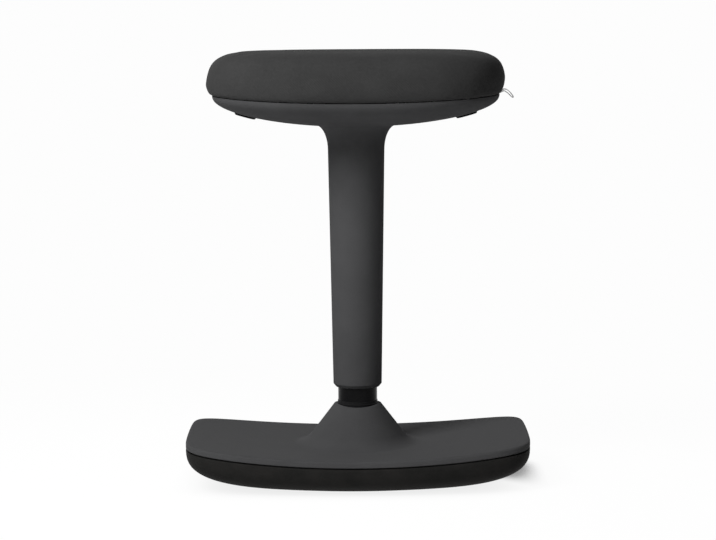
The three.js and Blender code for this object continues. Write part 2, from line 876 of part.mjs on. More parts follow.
function seatShell() {
  const turns = filletShares.map((share) => (share * Math.PI) / 2);
  const shares = undersideShares;
  const lipRadius = tubeRadius + 2 * runningGap;
  const bushPocket = tubeRadius + runningGap + sleeveBushWall + seatedGap;
  const bushTop = sleeveEndLevel + sleeveLipHeight + sleeveBushLength + seatedGap;
  const outside = [
    ...shares.map((share) => undersideRing(share, 0)).reverse(),
    ...turns.map((turn) => filletRing(turn, 0)),
    sleeveRing(sleeveEndRadius, sleeveEndLevel + sleeveChamfer),
    sleeveRing(sleeveEndRadius - sleeveChamfer + 2 * seatedGap, sleeveEndLevel),
  ];
  const inside = [
    sleeveRing(lipRadius, sleeveEndLevel),
    sleeveRing(lipRadius, sleeveEndLevel + sleeveLipHeight),
    sleeveRing(bushPocket, sleeveEndLevel + sleeveLipHeight),
    sleeveRing(bushPocket, bushTop),
    sleeveRing(sleeveEndRadius - sleeveWall + 2 * seatedGap, bushTop + sleeveChamfer),
    ...turns.map((turn) => filletRing(turn, shellWall, shellWall)).reverse(),
    ...shares.slice(0, -1).map((share) => undersideRing(share, shellWall, shellWall)),
    seatDirections.map((angle) => {
      const [x, y] = seatPlan(angle, 1, shellWall);
      return new THREE.Vector3(x, y, seamLevel + seatRiseAt(x));
    }),
  ];
  const shell = asSolid(ringSolid([...outside, ...inside], true));
  const bosses = shellScrewPlaces.map(([x, y]) =>
    post(shellBossRadius, undersideAt(x, y) + shellWall / 2, shellBossTop(x), x, y),
  );
  const holes = shellScrewPlaces.map(([x, y]) =>
    post(shellScrewRadius + runningGap, undersideAt(x, y) - overrun, shellBossTop(x) + overrun, x, y),
  );
  const pockets = shellScrewPlaces.map(([x, y]) =>
    post(
      shellScrewHeadRadius + runningGap,
      undersideAt(x, y) - 2 * overrun,
      shellScrewSeat(x, y),
      x,
      y,
    ),
  );
  const windows = [-1, 1].map((side) => paddleBlock(side, windowGap, bracketFloor - shellDepth, seamLevel));
  return asGeometry(cutBy(cutBy(cutBy(joined(shell, bosses), holes), pockets), windows));
}

const sleeveBush = () =>
  hollowRing(
    tubeRadius + runningGap,
    tubeRadius + runningGap + sleeveBushWall,
    sleeveEndLevel + sleeveLipHeight + seatedGap,
    sleeveEndLevel + sleeveLipHeight + sleeveBushLength,
    bigSides,
  );

function shellScrew(x, y) {
  const seat = shellScrewSeat(x, y) - seatedGap;
  const tip = boardLevel + seatRiseAt(x) + shellScrewGrip;
  return turned(
    [
      [0, seat - shellScrewHeadHeight],
      [shellScrewHeadRadius, seat - shellScrewHeadHeight],
      [shellScrewHeadRadius, seat],
      [shellScrewRadius, seat],
      [shellScrewRadius, tip - shellScrewRadius],
      [0, tip],
    ],
    tinySides,
  ).translate(x, y, 0);
}

// Cushion

const cushionDirections = directions(cushionSides, seatCrowdingShare);

// A ring of the cushion: a share of the way out, drawn in by an inset, at a level or a level by place
const cushionRing = (share, inset, level) =>
  cushionDirections.map((angle) => {
    const [x, y] = seatPlan(angle, share, inset - cushionOverhang);
    return new THREE.Vector3(x, y, typeof level === "function" ? level(x) : level);
  });

// The cushion's top surface, one inset inside the fabric
function cushionTopRings(shares, inset) {
  return shares.map((share) => {
    const height = cushionTop - inset - waistLevel;
    const level = waistLevel + height * Math.sqrt(1 - share ** cushionFlatness) - cushionCrown * share ** 2;
    return cushionRing(share, inset, Math.max(level, waistLevel));
  });
}

// The side from the waist down to the joint, one inset inside the fabric
function cushionSideRings(turns, inset) {
  return turns.map((turn) =>
    cushionRing(1, inset + cushionOverhang * (1 - Math.cos(turn)), (x) =>
      THREE.MathUtils.lerp(waistLevel, jointAt(x) + inset, Math.sin(turn)),
    ),
  );
}

const jointAt = (x) => seamLevel + seatedGap + seatRiseAt(x);
const topShares = [0.4, 0.7, 0.83, 0.91, 0.96, 0.985, 1];
const foamTopShares = [0.7, 0.91, 0.985, 1];
const cushionTurnShares = [0.35, 0.7, 1];
const sideTurns = cushionTurnShares.map((share) => (share * Math.PI) / 2);
const foamBulgeLevelShare = 0.35; // of the way up from the hem to the waist
const foamBulgeInsetShare = 0.25; // of the cushion's overhang
const boardMiddleShare = 0.5;

function cushionCover() {
  const hem = cushionOverhang + hemWidth;
  return ringSolid([
    ...cushionTopRings(topShares, 0),
    ...cushionSideRings(sideTurns, 0),
    cushionRing(1, hem, jointAt),
    cushionRing(1, hem, (x) => jointAt(x) + coverFabric),
    ...cushionSideRings(sideTurns, coverFabric).reverse(),
    ...cushionTopRings(topShares, coverFabric).reverse(),
  ]);
}

function seatFoam() {
  const inset = coverFabric + foamClearance;
  const boardEdge = cushionOverhang + boardInset - seatedGap;
  const boardCap = (x) => boardTop + seatRiseAt(x) + seatedGap;
  const topOfHem = (x) => boardLevel + seatRiseAt(x);
  return ringSolid([
    ...cushionTopRings(foamTopShares, inset),
    cushionRing(1, inset + cushionOverhang * foamBulgeInsetShare, (x) =>
      THREE.MathUtils.lerp(topOfHem(x), waistLevel, foamBulgeLevelShare),
    ),
    cushionRing(1, inset + cushionOverhang, topOfHem),
    cushionRing(1, boardEdge, topOfHem),
    cushionRing(1, boardEdge, boardCap),
    cushionRing(boardMiddleShare, boardEdge, boardCap),
  ]);
}

const bracketBoltPlaces = mirroredPairs(bracketBoltX, bracketBoltY);
const teeNutTop = boardTop - seatedGap;

function seatBoard() {
  const inset = cushionOverhang + boardInset;
  const under = (x) => boardLevel + seatRiseAt(x);
  const over = (x) => boardTop + seatRiseAt(x);
  const board = asSolid(
    ringSolid([
      cushionRing(boardMiddleShare, inset, under),
      cushionRing(1, inset, under),
      cushionRing(1, inset, over),
      cushionRing(boardMiddleShare, inset, over),
    ]),
  );
  const barrels = bracketBoltPlaces.map(([x, y]) =>
    post(teeNutRadius + seatedGap, boardLevel - overrun, boardTop + overrun, x, y, tinySides),
  );
  const recesses = bracketBoltPlaces.map(([x, y]) =>
    post(
      teeNutFlangeRadius + seatedGap,
      teeNutTop - teeNutFlange - seatedGap,
      boardTop + overrun,
      x,
      y,
      tinySides,
    ),
  );
  const pilots = shellScrewPlaces.map(([x, y]) =>
    post(
      shellScrewRadius + seatedGap,
      boardLevel - overrun,
      boardLevel + seatRiseAt(x) + shellScrewGrip + runningGap,
      x,
      y,
      tinySides,
    ),
  );
  return asGeometry(cutBy(cutBy(cutBy(board, barrels), recesses), pilots));
}

// Bracket: a hat section, its floor carrying the socket and its walls the lever pins

function mountBracket() {
  const t = bracketThickness;
  const half = bracketHalfWidth;
  const edge = bracketHalfWidth + bracketFlange;
  const right = [
    [half, bracketFloor],
    [half, bracketTop - t],
    [edge, bracketTop - t],
    [edge, bracketTop],
    [half - t, bracketTop],
    [half - t, bracketFloor + t],
  ];
  const outline = [...right, ...right.map(([y, z]) => [-y, z]).reverse()];
  const section = new THREE.Shape(outline.map(([y, z]) => new THREE.Vector2(y, z)));
  const hat = new THREE.ExtrudeGeometry(section, {
    depth: 2 * bracketHalfLength,
    bevelEnabled: false,
  });
  // The section is drawn in Y and Z and pushed along X
  hat.translate(0, 0, -bracketHalfLength);
  hat.applyMatrix4(
    new THREE.Matrix4().makeBasis(
      new THREE.Vector3(0, 1, 0),
      new THREE.Vector3(0, 0, 1),
      new THREE.Vector3(1, 0, 0),
    ),
  );
  const cuts = [
    post(upperSocketRadius + seatedGap, bracketFloor - overrun, bracketFloor + t + overrun, 0, 0, bigSides),
    ...bracketBoltPlaces.map(([x, y]) =>
      post(bracketBoltRadius + runningGap, bracketTop - t - overrun, bracketTop + overrun, x, y),
    ),
    ...[-1, 1].map((side) =>
      crossPost(pivotPinRadius + seatedGap, -half - overrun, half + overrun, side * leverPivotX, leverLevel),
    ),
  ];
  return asGeometry(cutBy(asSolid(hat), cuts));
}

function upperSocket() {
  const bore = (level) =>
    THREE.MathUtils.mapLinear(
      Math.max(level, cylinderTop - cylinderTaperLength),
      cylinderTop - cylinderTaperLength,
      cylinderTop,
      cylinderRadius,
      cylinderTipRadius,
    ) + seatedGap;
  return turned(
    [
      [bore(upperSocketLevel), upperSocketLevel],
      [upperSocketRadius, upperSocketLevel],
      [upperSocketRadius, cylinderTop],
      [bore(cylinderTop), cylinderTop],
    ],
    bigSides,
  );
}

function bracketBolt(x, y) {
  const seat = bracketTop - bracketThickness - seatedGap;
  return turned(
    [
      [0, seat - bracketBoltHeadHeight],
      [bracketBoltHeadRadius, seat - bracketBoltHeadHeight],
      [bracketBoltHeadRadius, seat],
      [bracketBoltRadius, seat],
      [bracketBoltRadius, teeNutTop - seatedGap],
      [0, teeNutTop - seatedGap],
    ],
    tinySides,
  ).translate(x, y, 0);
}

const teeNut = (x, y) =>
  turned(
    [
      [bracketBoltRadius + seatedGap, boardLevel + seatRiseAt(x)],
      [teeNutRadius, boardLevel + seatRiseAt(x)],
      [teeNutRadius, teeNutTop - teeNutFlange],
      [teeNutFlangeRadius, teeNutTop - teeNutFlange],
      [teeNutFlangeRadius, teeNutTop],
      [bracketBoltRadius + seatedGap, teeNutTop],
    ],
    tinySides,
  ).translate(x, y, 0);

// Release

const inOrder = (a, b) => [Math.min(a, b), Math.max(a, b)];

// The upright block of one paddle, grown by an amount all round
const paddleBlock = (side, grown, low, high) =>
  box(
    ...inOrder(side * (paddleInnerX - grown), side * (paddleOuterX + grown)),
    -paddleHalfLength - grown,
    paddleHalfLength + grown,
    low,
    high,
  );

const bladeLevel = leverLevel - leverDrop;
const bladeBottom = bladeLevel - leverHalfHeight;
const bladeEndX = paddleOuterX - paddleBossWall - windowGap;

function paddle(side) {
  const low = bracketFloor - shellDepth;
  const top = shellWall + runningGap + paddleFlangeThickness;
  const layer = (from, to) =>
    boatFilling(from, seamLevel + seatRise).subtract(boatFilling(to, seamLevel + 2 * seatRise));
  const face = layer(-paddleProud, top).intersect(asSolid(paddleBlock(side, 0, low, seamLevel)));
  const rim = layer(shellWall + runningGap, top).intersect(
    asSolid(paddleBlock(side, windowGap + paddleFlange, low, seamLevel)),
  );
  const middle = side * (paddleInnerX + paddleOuterX) / 2;
  const halfBoss = (paddleOuterX - paddleInnerX) / 2 - paddleBossWall;
  const blade = side * leverSpread;
  const halfBlade = leverThickness / 2;
  const root = undersideAt(paddleInnerX, 0, shellWall);
  const boss = box(
    middle - halfBoss,
    middle + halfBoss,
    blade - halfBlade - seatedGap - paddleBossWall,
    blade + halfBlade + seatedGap + paddleBossWall,
    root,
    bladeBottom + paddleBossHeight,
  );
  const slot = box(
    ...inOrder(side * (paddleInnerX - paddleFlange - windowGap - overrun), side * (bladeEndX + seatedGap)),
    blade - halfBlade - seatedGap,
    blade + halfBlade + seatedGap,
    bladeBottom - seatedGap,
    seamLevel,
  );
  return asGeometry(cutBy(joined(face.add(rim), [boss]), [slot]));
}

function leverArm(side) {
  const h = leverHalfHeight;
  const outline = [
    [-leverTip, leverLevel - h],
    [leverBendX, leverLevel - h],
    [paddleInnerX - windowGap, bladeLevel - h],
    [bladeEndX, bladeLevel - h],
    [bladeEndX, bladeLevel + h],
    [paddleInnerX - windowGap, bladeLevel + h],
    [leverBendX, leverLevel + h],
    [-leverTip, leverLevel + h],
  ];
  const blade = new THREE.ExtrudeGeometry(
    new THREE.Shape(outline.map(([x, z]) => new THREE.Vector2(side * x, z))),
    { depth: leverThickness, bevelEnabled: false },
  );
  blade.rotateX(Math.PI / 2).translate(0, leverThickness / 2 + side * leverSpread, 0);
  const low = side * leverSpread - leverThickness / 2;
  const high = side * leverSpread + leverThickness / 2;
  const pivotX = side * leverPivotX;
  const eye = crossPost(leverHubRadius, low, high, pivotX, leverLevel);
  const bore = crossPost(pivotPinRadius + seatedGap, low - overrun, high + overrun, pivotX, leverLevel);
  const slot = box(
    -leverSlotLength / 2,
    leverSlotLength / 2,
    low - overrun,
    high + overrun,
    leverLevel - crossPinRadius - leverPinClear,
    leverLevel + crossPinRadius + leverPinClear,
  );
  return asGeometry(cutBy(joined(asSolid(facingOut(onlyPositions(blade))), [eye]), [bore, slot]));
}

function pivotPin(side) {
  const half = bracketHalfWidth + seatedGap;
  const end = half + pivotPinHeadHeight;
  return turned(
    [
      [0, -end],
      [pivotPinHeadRadius, -end],
      [pivotPinHeadRadius, -half],
      [pivotPinRadius, -half],
      [pivotPinRadius, half],
      [pivotPinHeadRadius, half],
      [pivotPinHeadRadius, end],
      [0, end],
    ],
    smallSides,
  )
    .rotateX(-Math.PI / 2)
    .translate(side * leverPivotX, 0, leverLevel);
}

// The spring between one paddle and the board: one unbroken wire with closed ends
function paddleSpring(side) {
  const x = side * (paddleInnerX + paddleOuterX) / 2;
  const paddleInside = shellWall + runningGap + paddleFlangeThickness;
  const paddleFace = Math.max(
    ...[-1, 1].map((way) =>
      undersideAt(x + way * (springRadius + springWireRadius), springOffsetY, paddleInside),
    ),
  );
  const low = paddleFace + springWireRadius + seatedGap;
  const high = boardLevel + seatRiseAt(Math.abs(x) - springRadius) - springWireRadius - seatedGap;
  const steps = springTurns * tinySides;
  const rings = Array.from({ length: steps + 1 }, (_, i) => {
    const angle = (2 * Math.PI * i) / tinySides;
    // The first and last turns lie nearly flat, and the turns between them climb
    const climb = THREE.MathUtils.clamp((i - tinySides / 2) / (steps - tinySides), 0, 1);
    const level = THREE.MathUtils.lerp(low, high, THREE.MathUtils.lerp(climb, i / steps, closedEndShare));
    return Array.from({ length: wireSides }, (_, k) => {
      const round = (2 * Math.PI * k) / wireSides;
      const reach = springRadius + springWireRadius * Math.cos(round);
      return new THREE.Vector3(
        x + reach * Math.cos(angle),
        springOffsetY + reach * Math.sin(angle),
        level + springWireRadius * Math.sin(round),
      );
    });
  });
  return ringSolid(rings);
}

const valvePin = () => post(valvePinRadius, valvePinTop - valvePinLength, valvePinTop);

function actuatorCap() {
  const top = actuatorLevel + actuatorThickness;
  const cap = asSolid(post(actuatorRadius, actuatorLevel, top));
  const tongue = box(
    -actuatorTongueWidth / 2,
    actuatorTongueWidth / 2,
    -actuatorTongueThickness / 2,
    actuatorTongueThickness / 2,
    top - actuatorThickness / 2,
    top + actuatorTongueHeight,
  );
  const eye = crossPost(crossPinRadius + leverPinClear, -actuatorRadius, actuatorRadius, 0, leverLevel);
  return asGeometry(cutBy(joined(cap, [tongue]), [eye]));
}

const crossPin = () => crossPost(crossPinRadius, -crossPinLength / 2, crossPinLength / 2, 0, leverLevel);

// Pull tab: a ribbon folded into a loop, which leaves the joint under the cushion and hangs to its tip
function pullTab() {
  const nearSide = tabSetback - tabWidth / 2;
  const shellEdge =
    shellHalfWidth * (1 - (nearSide / shellHalfDepth) ** seatSquareness) ** (1 / seatSquareness);
  const rootX = shellEdge + tabThickness / 2 + seatedGap;
  const rootZ = seamLevel + seatRise - tabThickness / 2;
  // The loop's middle line, in shares of the reach out from the joint and up from it
  const loopShares = [
    [0, 0],
    [0.16, 0.066],
    [0.36, 0.2],
    [0.57, 0.207],
    [0.755, 0.06],
    [0.9, -0.11],
    [0.99, -0.26],
    [0.973, -0.325],
    [0.9, -0.3],
    [0.75, -0.157],
    [0.58, -0.011],
    [0.395, 0.08],
    [0.186, -0.02],
  ];
  const path = loopShares.map(
    ([out, up]) => new THREE.Vector3(rootX + out * tabReach, rootZ + up * tabReach, 0),
  );
  const curve = new THREE.CatmullRomCurve3(path, true, "centripetal");
  const line = curve.getSpacedPoints(middleSides).slice(0, -1);
  const side = (offset) =>
    line.map((point, i) => {
      const along = line[(i + 1) % line.length].clone().sub(line.at(i - 1)).normalize();
      return new THREE.Vector2(point.x - along.y * offset, point.y + along.x * offset);
    });
  const loop = new THREE.Shape(side(tabThickness / 2));
  loop.holes.push(new THREE.Path(side(-tabThickness / 2).reverse()));
  const ribbon = new THREE.ExtrudeGeometry(loop, { depth: tabWidth, bevelEnabled: false });
  return facingOut(onlyPositions(ribbon.rotateX(Math.PI / 2).translate(0, nearSide + tabWidth, 0)));
}

// The base
add("rocker_sole", rockerSole(), blackRubber);
add("base_cover", baseCover(), charcoalPlastic);
add("base_plate", basePlate(), blackSteel);
add("lift_socket", hubSocket(), blackSteel);
add("hub_ring", hubRing(), blackPlastic);
baseScrewPlaces.forEach(([x, y], i) => add(`base_screw_${i + 1}`, baseScrew(x, y), brightSteel));

// The lift's outer tube and what turns or slides in it
add("lift_tube", liftTube(), blackSteel);
add("guide_bush", guideBush(), paleNylon);
add("lower_race", bearingRace(bearingLevel), brightSteel);
add("ball_cage", ballCage(), brightSteel);
add("upper_race", bearingRace(upperRaceLevel), brightSteel);
add("bump_stop", bumpStop(), blackRubber);
add("piston_rod", pistonRod(), brightSteel);
add("lift_piston", liftPiston(), brightSteel);
add("piston_seal", pistonSeal(), blackRubber);
add("rod_washer", rodWasher(), brightSteel);
add("rod_clip", rodClip(), brightSteel);
add("gas_cylinder", gasCylinder(), blackSteel);
add("rod_gland", rodGland(), blackPlastic);

// The seat
add("seat_shell", seatShell(), charcoalPlastic);
add("sleeve_bush", sleeveBush(), paleNylon);
add("mount_bracket", mountBracket(), blackSteel);
add("seat_socket", upperSocket(), blackSteel);
add("seat_board", seatBoard(), blackPlastic);
add("seat_foam", seatFoam(), greyFoam);
add("cushion_cover", cushionCover(), charcoalFabric);
add("pull_tab", pullTab(), greyRibbon);
bracketBoltPlaces.forEach(([x, y], i) => {
  add(`bracket_bolt_${i + 1}`, bracketBolt(x, y), brightSteel);
  add(`tee_nut_${i + 1}`, teeNut(x, y), brightSteel);
});
shellScrewPlaces.forEach(([x, y], i) => add(`shell_screw_${i + 1}`, shellScrew(x, y), brightSteel));

// The height release
for (const [side, hand] of [[-1, "left"], [1, "right"]]) {
  add(`paddle_${hand}`, paddle(side), blackPlastic);
  add(`lever_${hand}`, leverArm(side), brightSteel);
  add(`lever_pin_${hand}`, pivotPin(side), brightSteel);
  add(`lever_spring_${hand}`, paddleSpring(side), brightSteel);
}
add("valve_pin", valvePin(), brightSteel);
add("valve_cap", actuatorCap(), blackPlastic);
add("valve_cross_pin", crossPin(), brightSteel);

export default stool;
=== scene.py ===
"""The looks of the perch stool: an oblong padded seat on a gas lift, over a shallow rocker base.

Metres, +Z up, X across the seat, Y front to back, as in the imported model.
"""
import math

import bmesh
import bpy
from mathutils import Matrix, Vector


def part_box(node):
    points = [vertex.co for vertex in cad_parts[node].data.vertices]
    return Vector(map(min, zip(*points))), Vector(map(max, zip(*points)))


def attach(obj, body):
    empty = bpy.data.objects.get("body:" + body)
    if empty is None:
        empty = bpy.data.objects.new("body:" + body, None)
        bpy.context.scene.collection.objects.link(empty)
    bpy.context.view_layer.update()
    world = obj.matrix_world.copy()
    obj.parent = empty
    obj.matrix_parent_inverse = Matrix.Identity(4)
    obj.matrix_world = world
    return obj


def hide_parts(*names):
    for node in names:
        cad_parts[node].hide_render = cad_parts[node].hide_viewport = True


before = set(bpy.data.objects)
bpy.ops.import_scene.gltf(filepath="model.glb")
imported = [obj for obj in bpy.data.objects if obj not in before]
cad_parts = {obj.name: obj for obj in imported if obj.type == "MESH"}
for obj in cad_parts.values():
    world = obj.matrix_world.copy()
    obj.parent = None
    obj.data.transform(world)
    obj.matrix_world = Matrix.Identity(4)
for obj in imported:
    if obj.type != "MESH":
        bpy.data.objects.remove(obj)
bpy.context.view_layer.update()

MM = 0.001
QUARTER = math.pi / 2


# Sizes: the model's own, apart from a few outlines that follow the photo more closely

BASE_HALF_WIDTH = 218.2 * MM
BASE_HALF_DEPTH = 145 * MM
BASE_SQUARENESS = 8.2
BASE_SIDE_BOW_SHARE = 0.12
BASE_END_BOW_SHARE = 0.013
BASE_RISE = 16 * MM

SOLE_RIM = 35.1 * MM
SOLE_WALL = 6 * MM
SOLE_FLOOR = 8 * MM
PATCH_HALF_WIDTH = 40 * MM
PATCH_HALF_DEPTH = 78 * MM
SOLE_FULLNESS = 2.7
TONGUE_INSET = 3.4 * MM
TONGUE_HEIGHT = 4 * MM
TONGUE_WALL = 2 * MM

COVER_SEAM = 36.9 * MM
COVER_TOP = 45.1 * MM
COVER_EDGE = 3 * MM
COVER_WALL = 3.5 * MM
COVER_SKIRT_WALL = 3 * MM
HUB_HEIGHT = 52.6 * MM
HUB_BORE = 27 * MM
HUB_RIM_ROUND = 4.2 * MM
HUB_FOOT_ROUND = 31 * MM
HUB_FLANK = math.radians(53)
HUB_COLLAR_DEPTH = 14.5 * MM
HUB_RIM_DIP = 3.7 * MM
HUB_RIM_REACH = 10 * MM

TUBE_RADIUS = 25 * MM
TUBE_WALL = 1.8 * MM
TUBE_FOOT_RADIUS = 24 * MM
TUBE_FOOT = 20 * MM
TUBE_TAPER_TOP = 82 * MM
TUBE_TOP = 385 * MM

SEAM = 485.8 * MM
SEAM_GAP = 0.6 * MM
SEAT_RISE = 7.2 * MM
SHELL_HALF_WIDTH = 181.5 * MM
SHELL_HALF_DEPTH = 134 * MM
SEAT_SQUARENESS = 3.2
SHELL_DEPTH = 34 * MM
SHELL_FLATNESS = 1.8
SHELL_FULLNESS = 2.3
SHELL_WALL = 3.5 * MM
SLEEVE_RADIUS = 36 * MM
SLEEVE_END_RADIUS = 31 * MM
SLEEVE_END = 118.5 * MM
SLEEVE_CHAMFER = 4 * MM
SLEEVE_WALL = 3 * MM
FILLET_WIDTH = 16.4 * MM
FILLET_FOOT = 422 * MM
LIP_RADIUS = 25.8 * MM
LIP_HEIGHT = 2.5 * MM
BUSH_POCKET = 27.9 * MM
BUSH_TOP = 149.3 * MM

CUSHION_OVERHANG = 7.8 * MM
CUSHION_TOP = 547.7 * MM
CUSHION_WAIST = 509.5 * MM
RIGHT_WAIST_LIFT = 5.5 * MM
CUSHION_CROWN = 1.6 * MM
CUSHION_FLATNESS = 15.5
RIGHT_END_FLATNESS = 16.5
RIGHT_END_STRAIGHTNESS = 0.45

PADDLE_INNER = 127 * MM
PADDLE_OUTER = 153 * MM
PADDLE_HALF_LENGTH = 34 * MM
PADDLE_PROUD = 2.6 * MM
WINDOW_GAP = 1.2 * MM


# Materials

def linear(code):
    """An sRGB hex colour as linear red, green, blue and alpha"""
    channels = [int(code[i:i + 2], 16) / 255 for i in (1, 3, 5)]
    return [c / 12.92 if c <= 0.04045 else ((c + 0.055) / 1.055) ** 2.4 for c in channels] + [1]


def node(tree, kind, inputs=None, **settings):
    """Adds a node with its settings, values and links, and returns its outputs"""
    made = tree.nodes.new(kind)
    for key, value in settings.items():
        setattr(made, key, value)
    for key, value in (inputs or {}).items():
        if isinstance(value, bpy.types.NodeSocket):
            tree.links.new(value, made.inputs[key])
        else:
            made.inputs[key].default_value = value
    return made.outputs


def material(name, slot, colour, roughness, **sockets):
    """A material whose shader has plain values: returns it with its node tree and shader"""
    made = bpy.data.materials.new(name)
    made.use_nodes = True
    made["slot"] = slot
    made.diffuse_color = linear(colour)
    shader = made.node_tree.nodes["Principled BSDF"]
    # Without the multiple scattering that makes rough dark surfaces glow when seen edge on
    shader.distribution = "GGX"
    shader.inputs["Base Color"].default_value = linear(colour)
    shader.inputs["Roughness"].default_value = roughness
    for key, value in sockets.items():
        shader.inputs[key.replace("_", " ")].default_value = value
    return made, made.node_tree, shader.inputs


def grained(name, slot, tones, patch, gloss, grain, depth, **sockets):
    """A hard surface: dark and light tones in soft patches, a fine grain, and edges worn paler.

    Tones are the dark, light and worn colours, gloss the lowest and highest roughness, and patch,
    grain and depth are sizes in metres.
    """
    dark, light, worn = tones
    made, tree, shader = material(name, slot, light, max(gloss), **sockets)
    place = node(tree, "ShaderNodeTexCoord")["Object"]
    patches = node(tree, "ShaderNodeTexNoise", {"Vector": place, "Scale": 1 / patch, "Detail": 3.0})["Fac"]
    grains = node(tree, "ShaderNodeTexNoise", {"Vector": place, "Scale": 1 / grain, "Detail": 2.0})["Fac"]
    both = node(tree, "ShaderNodeMix", {"Factor": 0.35, "A": patches, "B": grains})["Result"]
    share = node(tree, "ShaderNodeMapRange", {"Value": both, "From Min": 0.38, "From Max": 0.62})["Result"]
    colour = node(tree, "ShaderNodeMix", {0: share, 6: linear(dark), 7: linear(light)}, data_type="RGBA")[2]
    edges = node(tree, "ShaderNodeNewGeometry")["Pointiness"]
    wear = node(tree, "ShaderNodeMapRange", {
        "Value": edges, "From Min": 0.53, "From Max": 0.62, "To Max": 0.8})["Result"]
    rubbed = node(tree, "ShaderNodeMath", {0: wear, 1: patches}, operation="MULTIPLY")[0]
    colour = node(tree, "ShaderNodeMix", {0: rubbed, 6: colour, 7: linear(worn)}, data_type="RGBA")[2]
    tree.links.new(colour, shader["Base Color"])
    rough = node(tree, "ShaderNodeMapRange", {
        "Value": both, "From Min": 0.35, "From Max": 0.65, "To Min": gloss[0], "To Max": gloss[1]})["Result"]
    tree.links.new(rough, shader["Roughness"])
    relief = node(tree, "ShaderNodeBump", {"Height": grains, "Distance": depth, "Strength": 0.6})["Normal"]
    tree.links.new(relief, shader["Normal"])
    return made


def woven_wool():
    """Wool-blend upholstery cloth, woven: charcoal yarns of two tones, a soft nap and a faint sheen"""
    made, tree, shader = material("woven_wool", "charcoal_fabric", "#363636", 0.9,
                                  Specular_IOR_Level=0.03, Sheen_Weight=0.01, Sheen_Roughness=0.5)
    coordinates = node(tree, "ShaderNodeTexCoord")
    place = coordinates["Object"]
    # The yarns are 0.7 mm apart, and they are drawn at 1.6 mm so that they show
    pitch = 1.6 * MM
    fleck, cloud = 2.2 * MM, 30 * MM
    thread_height, nap_height = 0.12 * MM, 0.25 * MM
    turns = node(tree, "ShaderNodeVectorMath", {0: place, "Scale": math.pi / pitch}, operation="SCALE")[0]
    waves = node(tree, "ShaderNodeSeparateXYZ", {
        0: node(tree, "ShaderNodeVectorMath", {0: turns}, operation="SINE")[0]})
    facing = node(tree, "ShaderNodeSeparateXYZ", {
        0: node(tree, "ShaderNodeVectorMath", {0: coordinates["Normal"]}, operation="ABSOLUTE")[0]})
    # The yarns cross over and under each other as the product of two waves, one for each direction
    on_top = node(tree, "ShaderNodeMath", {0: waves["X"], 1: waves["Y"]}, operation="MULTIPLY")[0]
    on_front = node(tree, "ShaderNodeMath", {0: waves["X"], 1: waves["Z"]}, operation="MULTIPLY")[0]
    on_end = node(tree, "ShaderNodeMath", {0: waves["Y"], 1: waves["Z"]}, operation="MULTIPLY")[0]
    endwise = node(tree, "ShaderNodeMapRange", {
        "Value": facing["X"], "From Min": 0.55, "From Max": 0.8})["Result"]
    upward = node(tree, "ShaderNodeMapRange", {
        "Value": facing["Z"], "From Min": 0.55, "From Max": 0.8})["Result"]
    on_side = node(tree, "ShaderNodeMix", {"Factor": endwise, "A": on_front, "B": on_end})["Result"]
    weave = node(tree, "ShaderNodeMix", {"Factor": upward, "A": on_side, "B": on_top})["Result"]
    flecks = node(tree, "ShaderNodeTexNoise", {
        "Vector": place, "Scale": 1 / fleck, "Detail": 3.0, "Roughness": 0.7})["Fac"]
    clouds = node(tree, "ShaderNodeTexNoise", {"Vector": place, "Scale": 1 / cloud, "Detail": 3.0})["Fac"]
    yarns = node(tree, "ShaderNodeMath", {0: weave, 1: 0.12, 2: flecks}, operation="MULTIPLY_ADD")[0]
    shade = node(tree, "ShaderNodeMix", {"Factor": 0.35, "A": yarns, "B": clouds})["Result"]
    share = node(tree, "ShaderNodeMapRange", {"Value": shade, "From Min": 0.3, "From Max": 0.7})["Result"]
    colour = node(tree, "ShaderNodeMix", {
        0: share, 6: linear("#373737"), 7: linear("#434343")}, data_type="RGBA")[2]
    tree.links.new(colour, shader["Base Color"])
    rough = node(tree, "ShaderNodeMapRange", {"Value": clouds, "To Min": 0.8, "To Max": 1.0})["Result"]
    tree.links.new(rough, shader["Roughness"])
    threads = node(tree, "ShaderNodeBump", {
        "Height": weave, "Distance": thread_height, "Strength": 0.35})["Normal"]
    nap = node(tree, "ShaderNodeBump", {
        "Height": flecks, "Distance": nap_height, "Strength": 0.35, "Normal": threads})["Normal"]
    tree.links.new(nap, shader["Normal"])
    return made


def woven_tape():
    """Woven polyester tape: light grey, matt, light shows through it, with slanting ribs across it"""
    made, tree, shader = material("woven_tape", "grey_ribbon", "#cccccc", 0.85, Specular_IOR_Level=0.2,
                                  Transmission_Weight=0.8, IOR=1.1)
    place = node(tree, "ShaderNodeTexCoord")["Object"]
    # The ribs are about 1 mm apart, and they are drawn at 6.53 mm so that they show at the photo's size
    pitch, rib_height = 6.53 * MM, 0.12 * MM
    # A diagonal wave's phase is 10 times the sum of x, y and z, which grows by the root of 3 on the slant
    phase_growth = 10 * math.sqrt(3)
    ribs = node(tree, "ShaderNodeTexWave", {
        "Vector": place, "Scale": 2 * math.pi / (phase_growth * pitch), "Distortion": 0.4},
        bands_direction="DIAGONAL")["Fac"]
    colour = node(tree, "ShaderNodeMix", {
        0: ribs, 6: linear("#bababa"), 7: linear("#dadada")}, data_type="RGBA")[2]
    tree.links.new(colour, shader["Base Color"])
    relief = node(tree, "ShaderNodeBump", {
        "Height": ribs, "Distance": rib_height, "Strength": 0.6})["Normal"]
    tree.links.new(relief, shader["Normal"])
    return made


# Injection-moulded polypropylene, spark-eroded: a fine matt grain, so the highlights are soft.
# The real grain is 0.1 mm, and it is drawn at 0.9 mm so that it shows
PLASTIC = grained("moulded_polypropylene", "charcoal_plastic", ("#484849", "#4e4e4f", "#575758"),
                  60 * MM, (0.78, 0.92), 0.9 * MM, 0.05 * MM, Specular_IOR_Level=0.05, IOR=1.49)
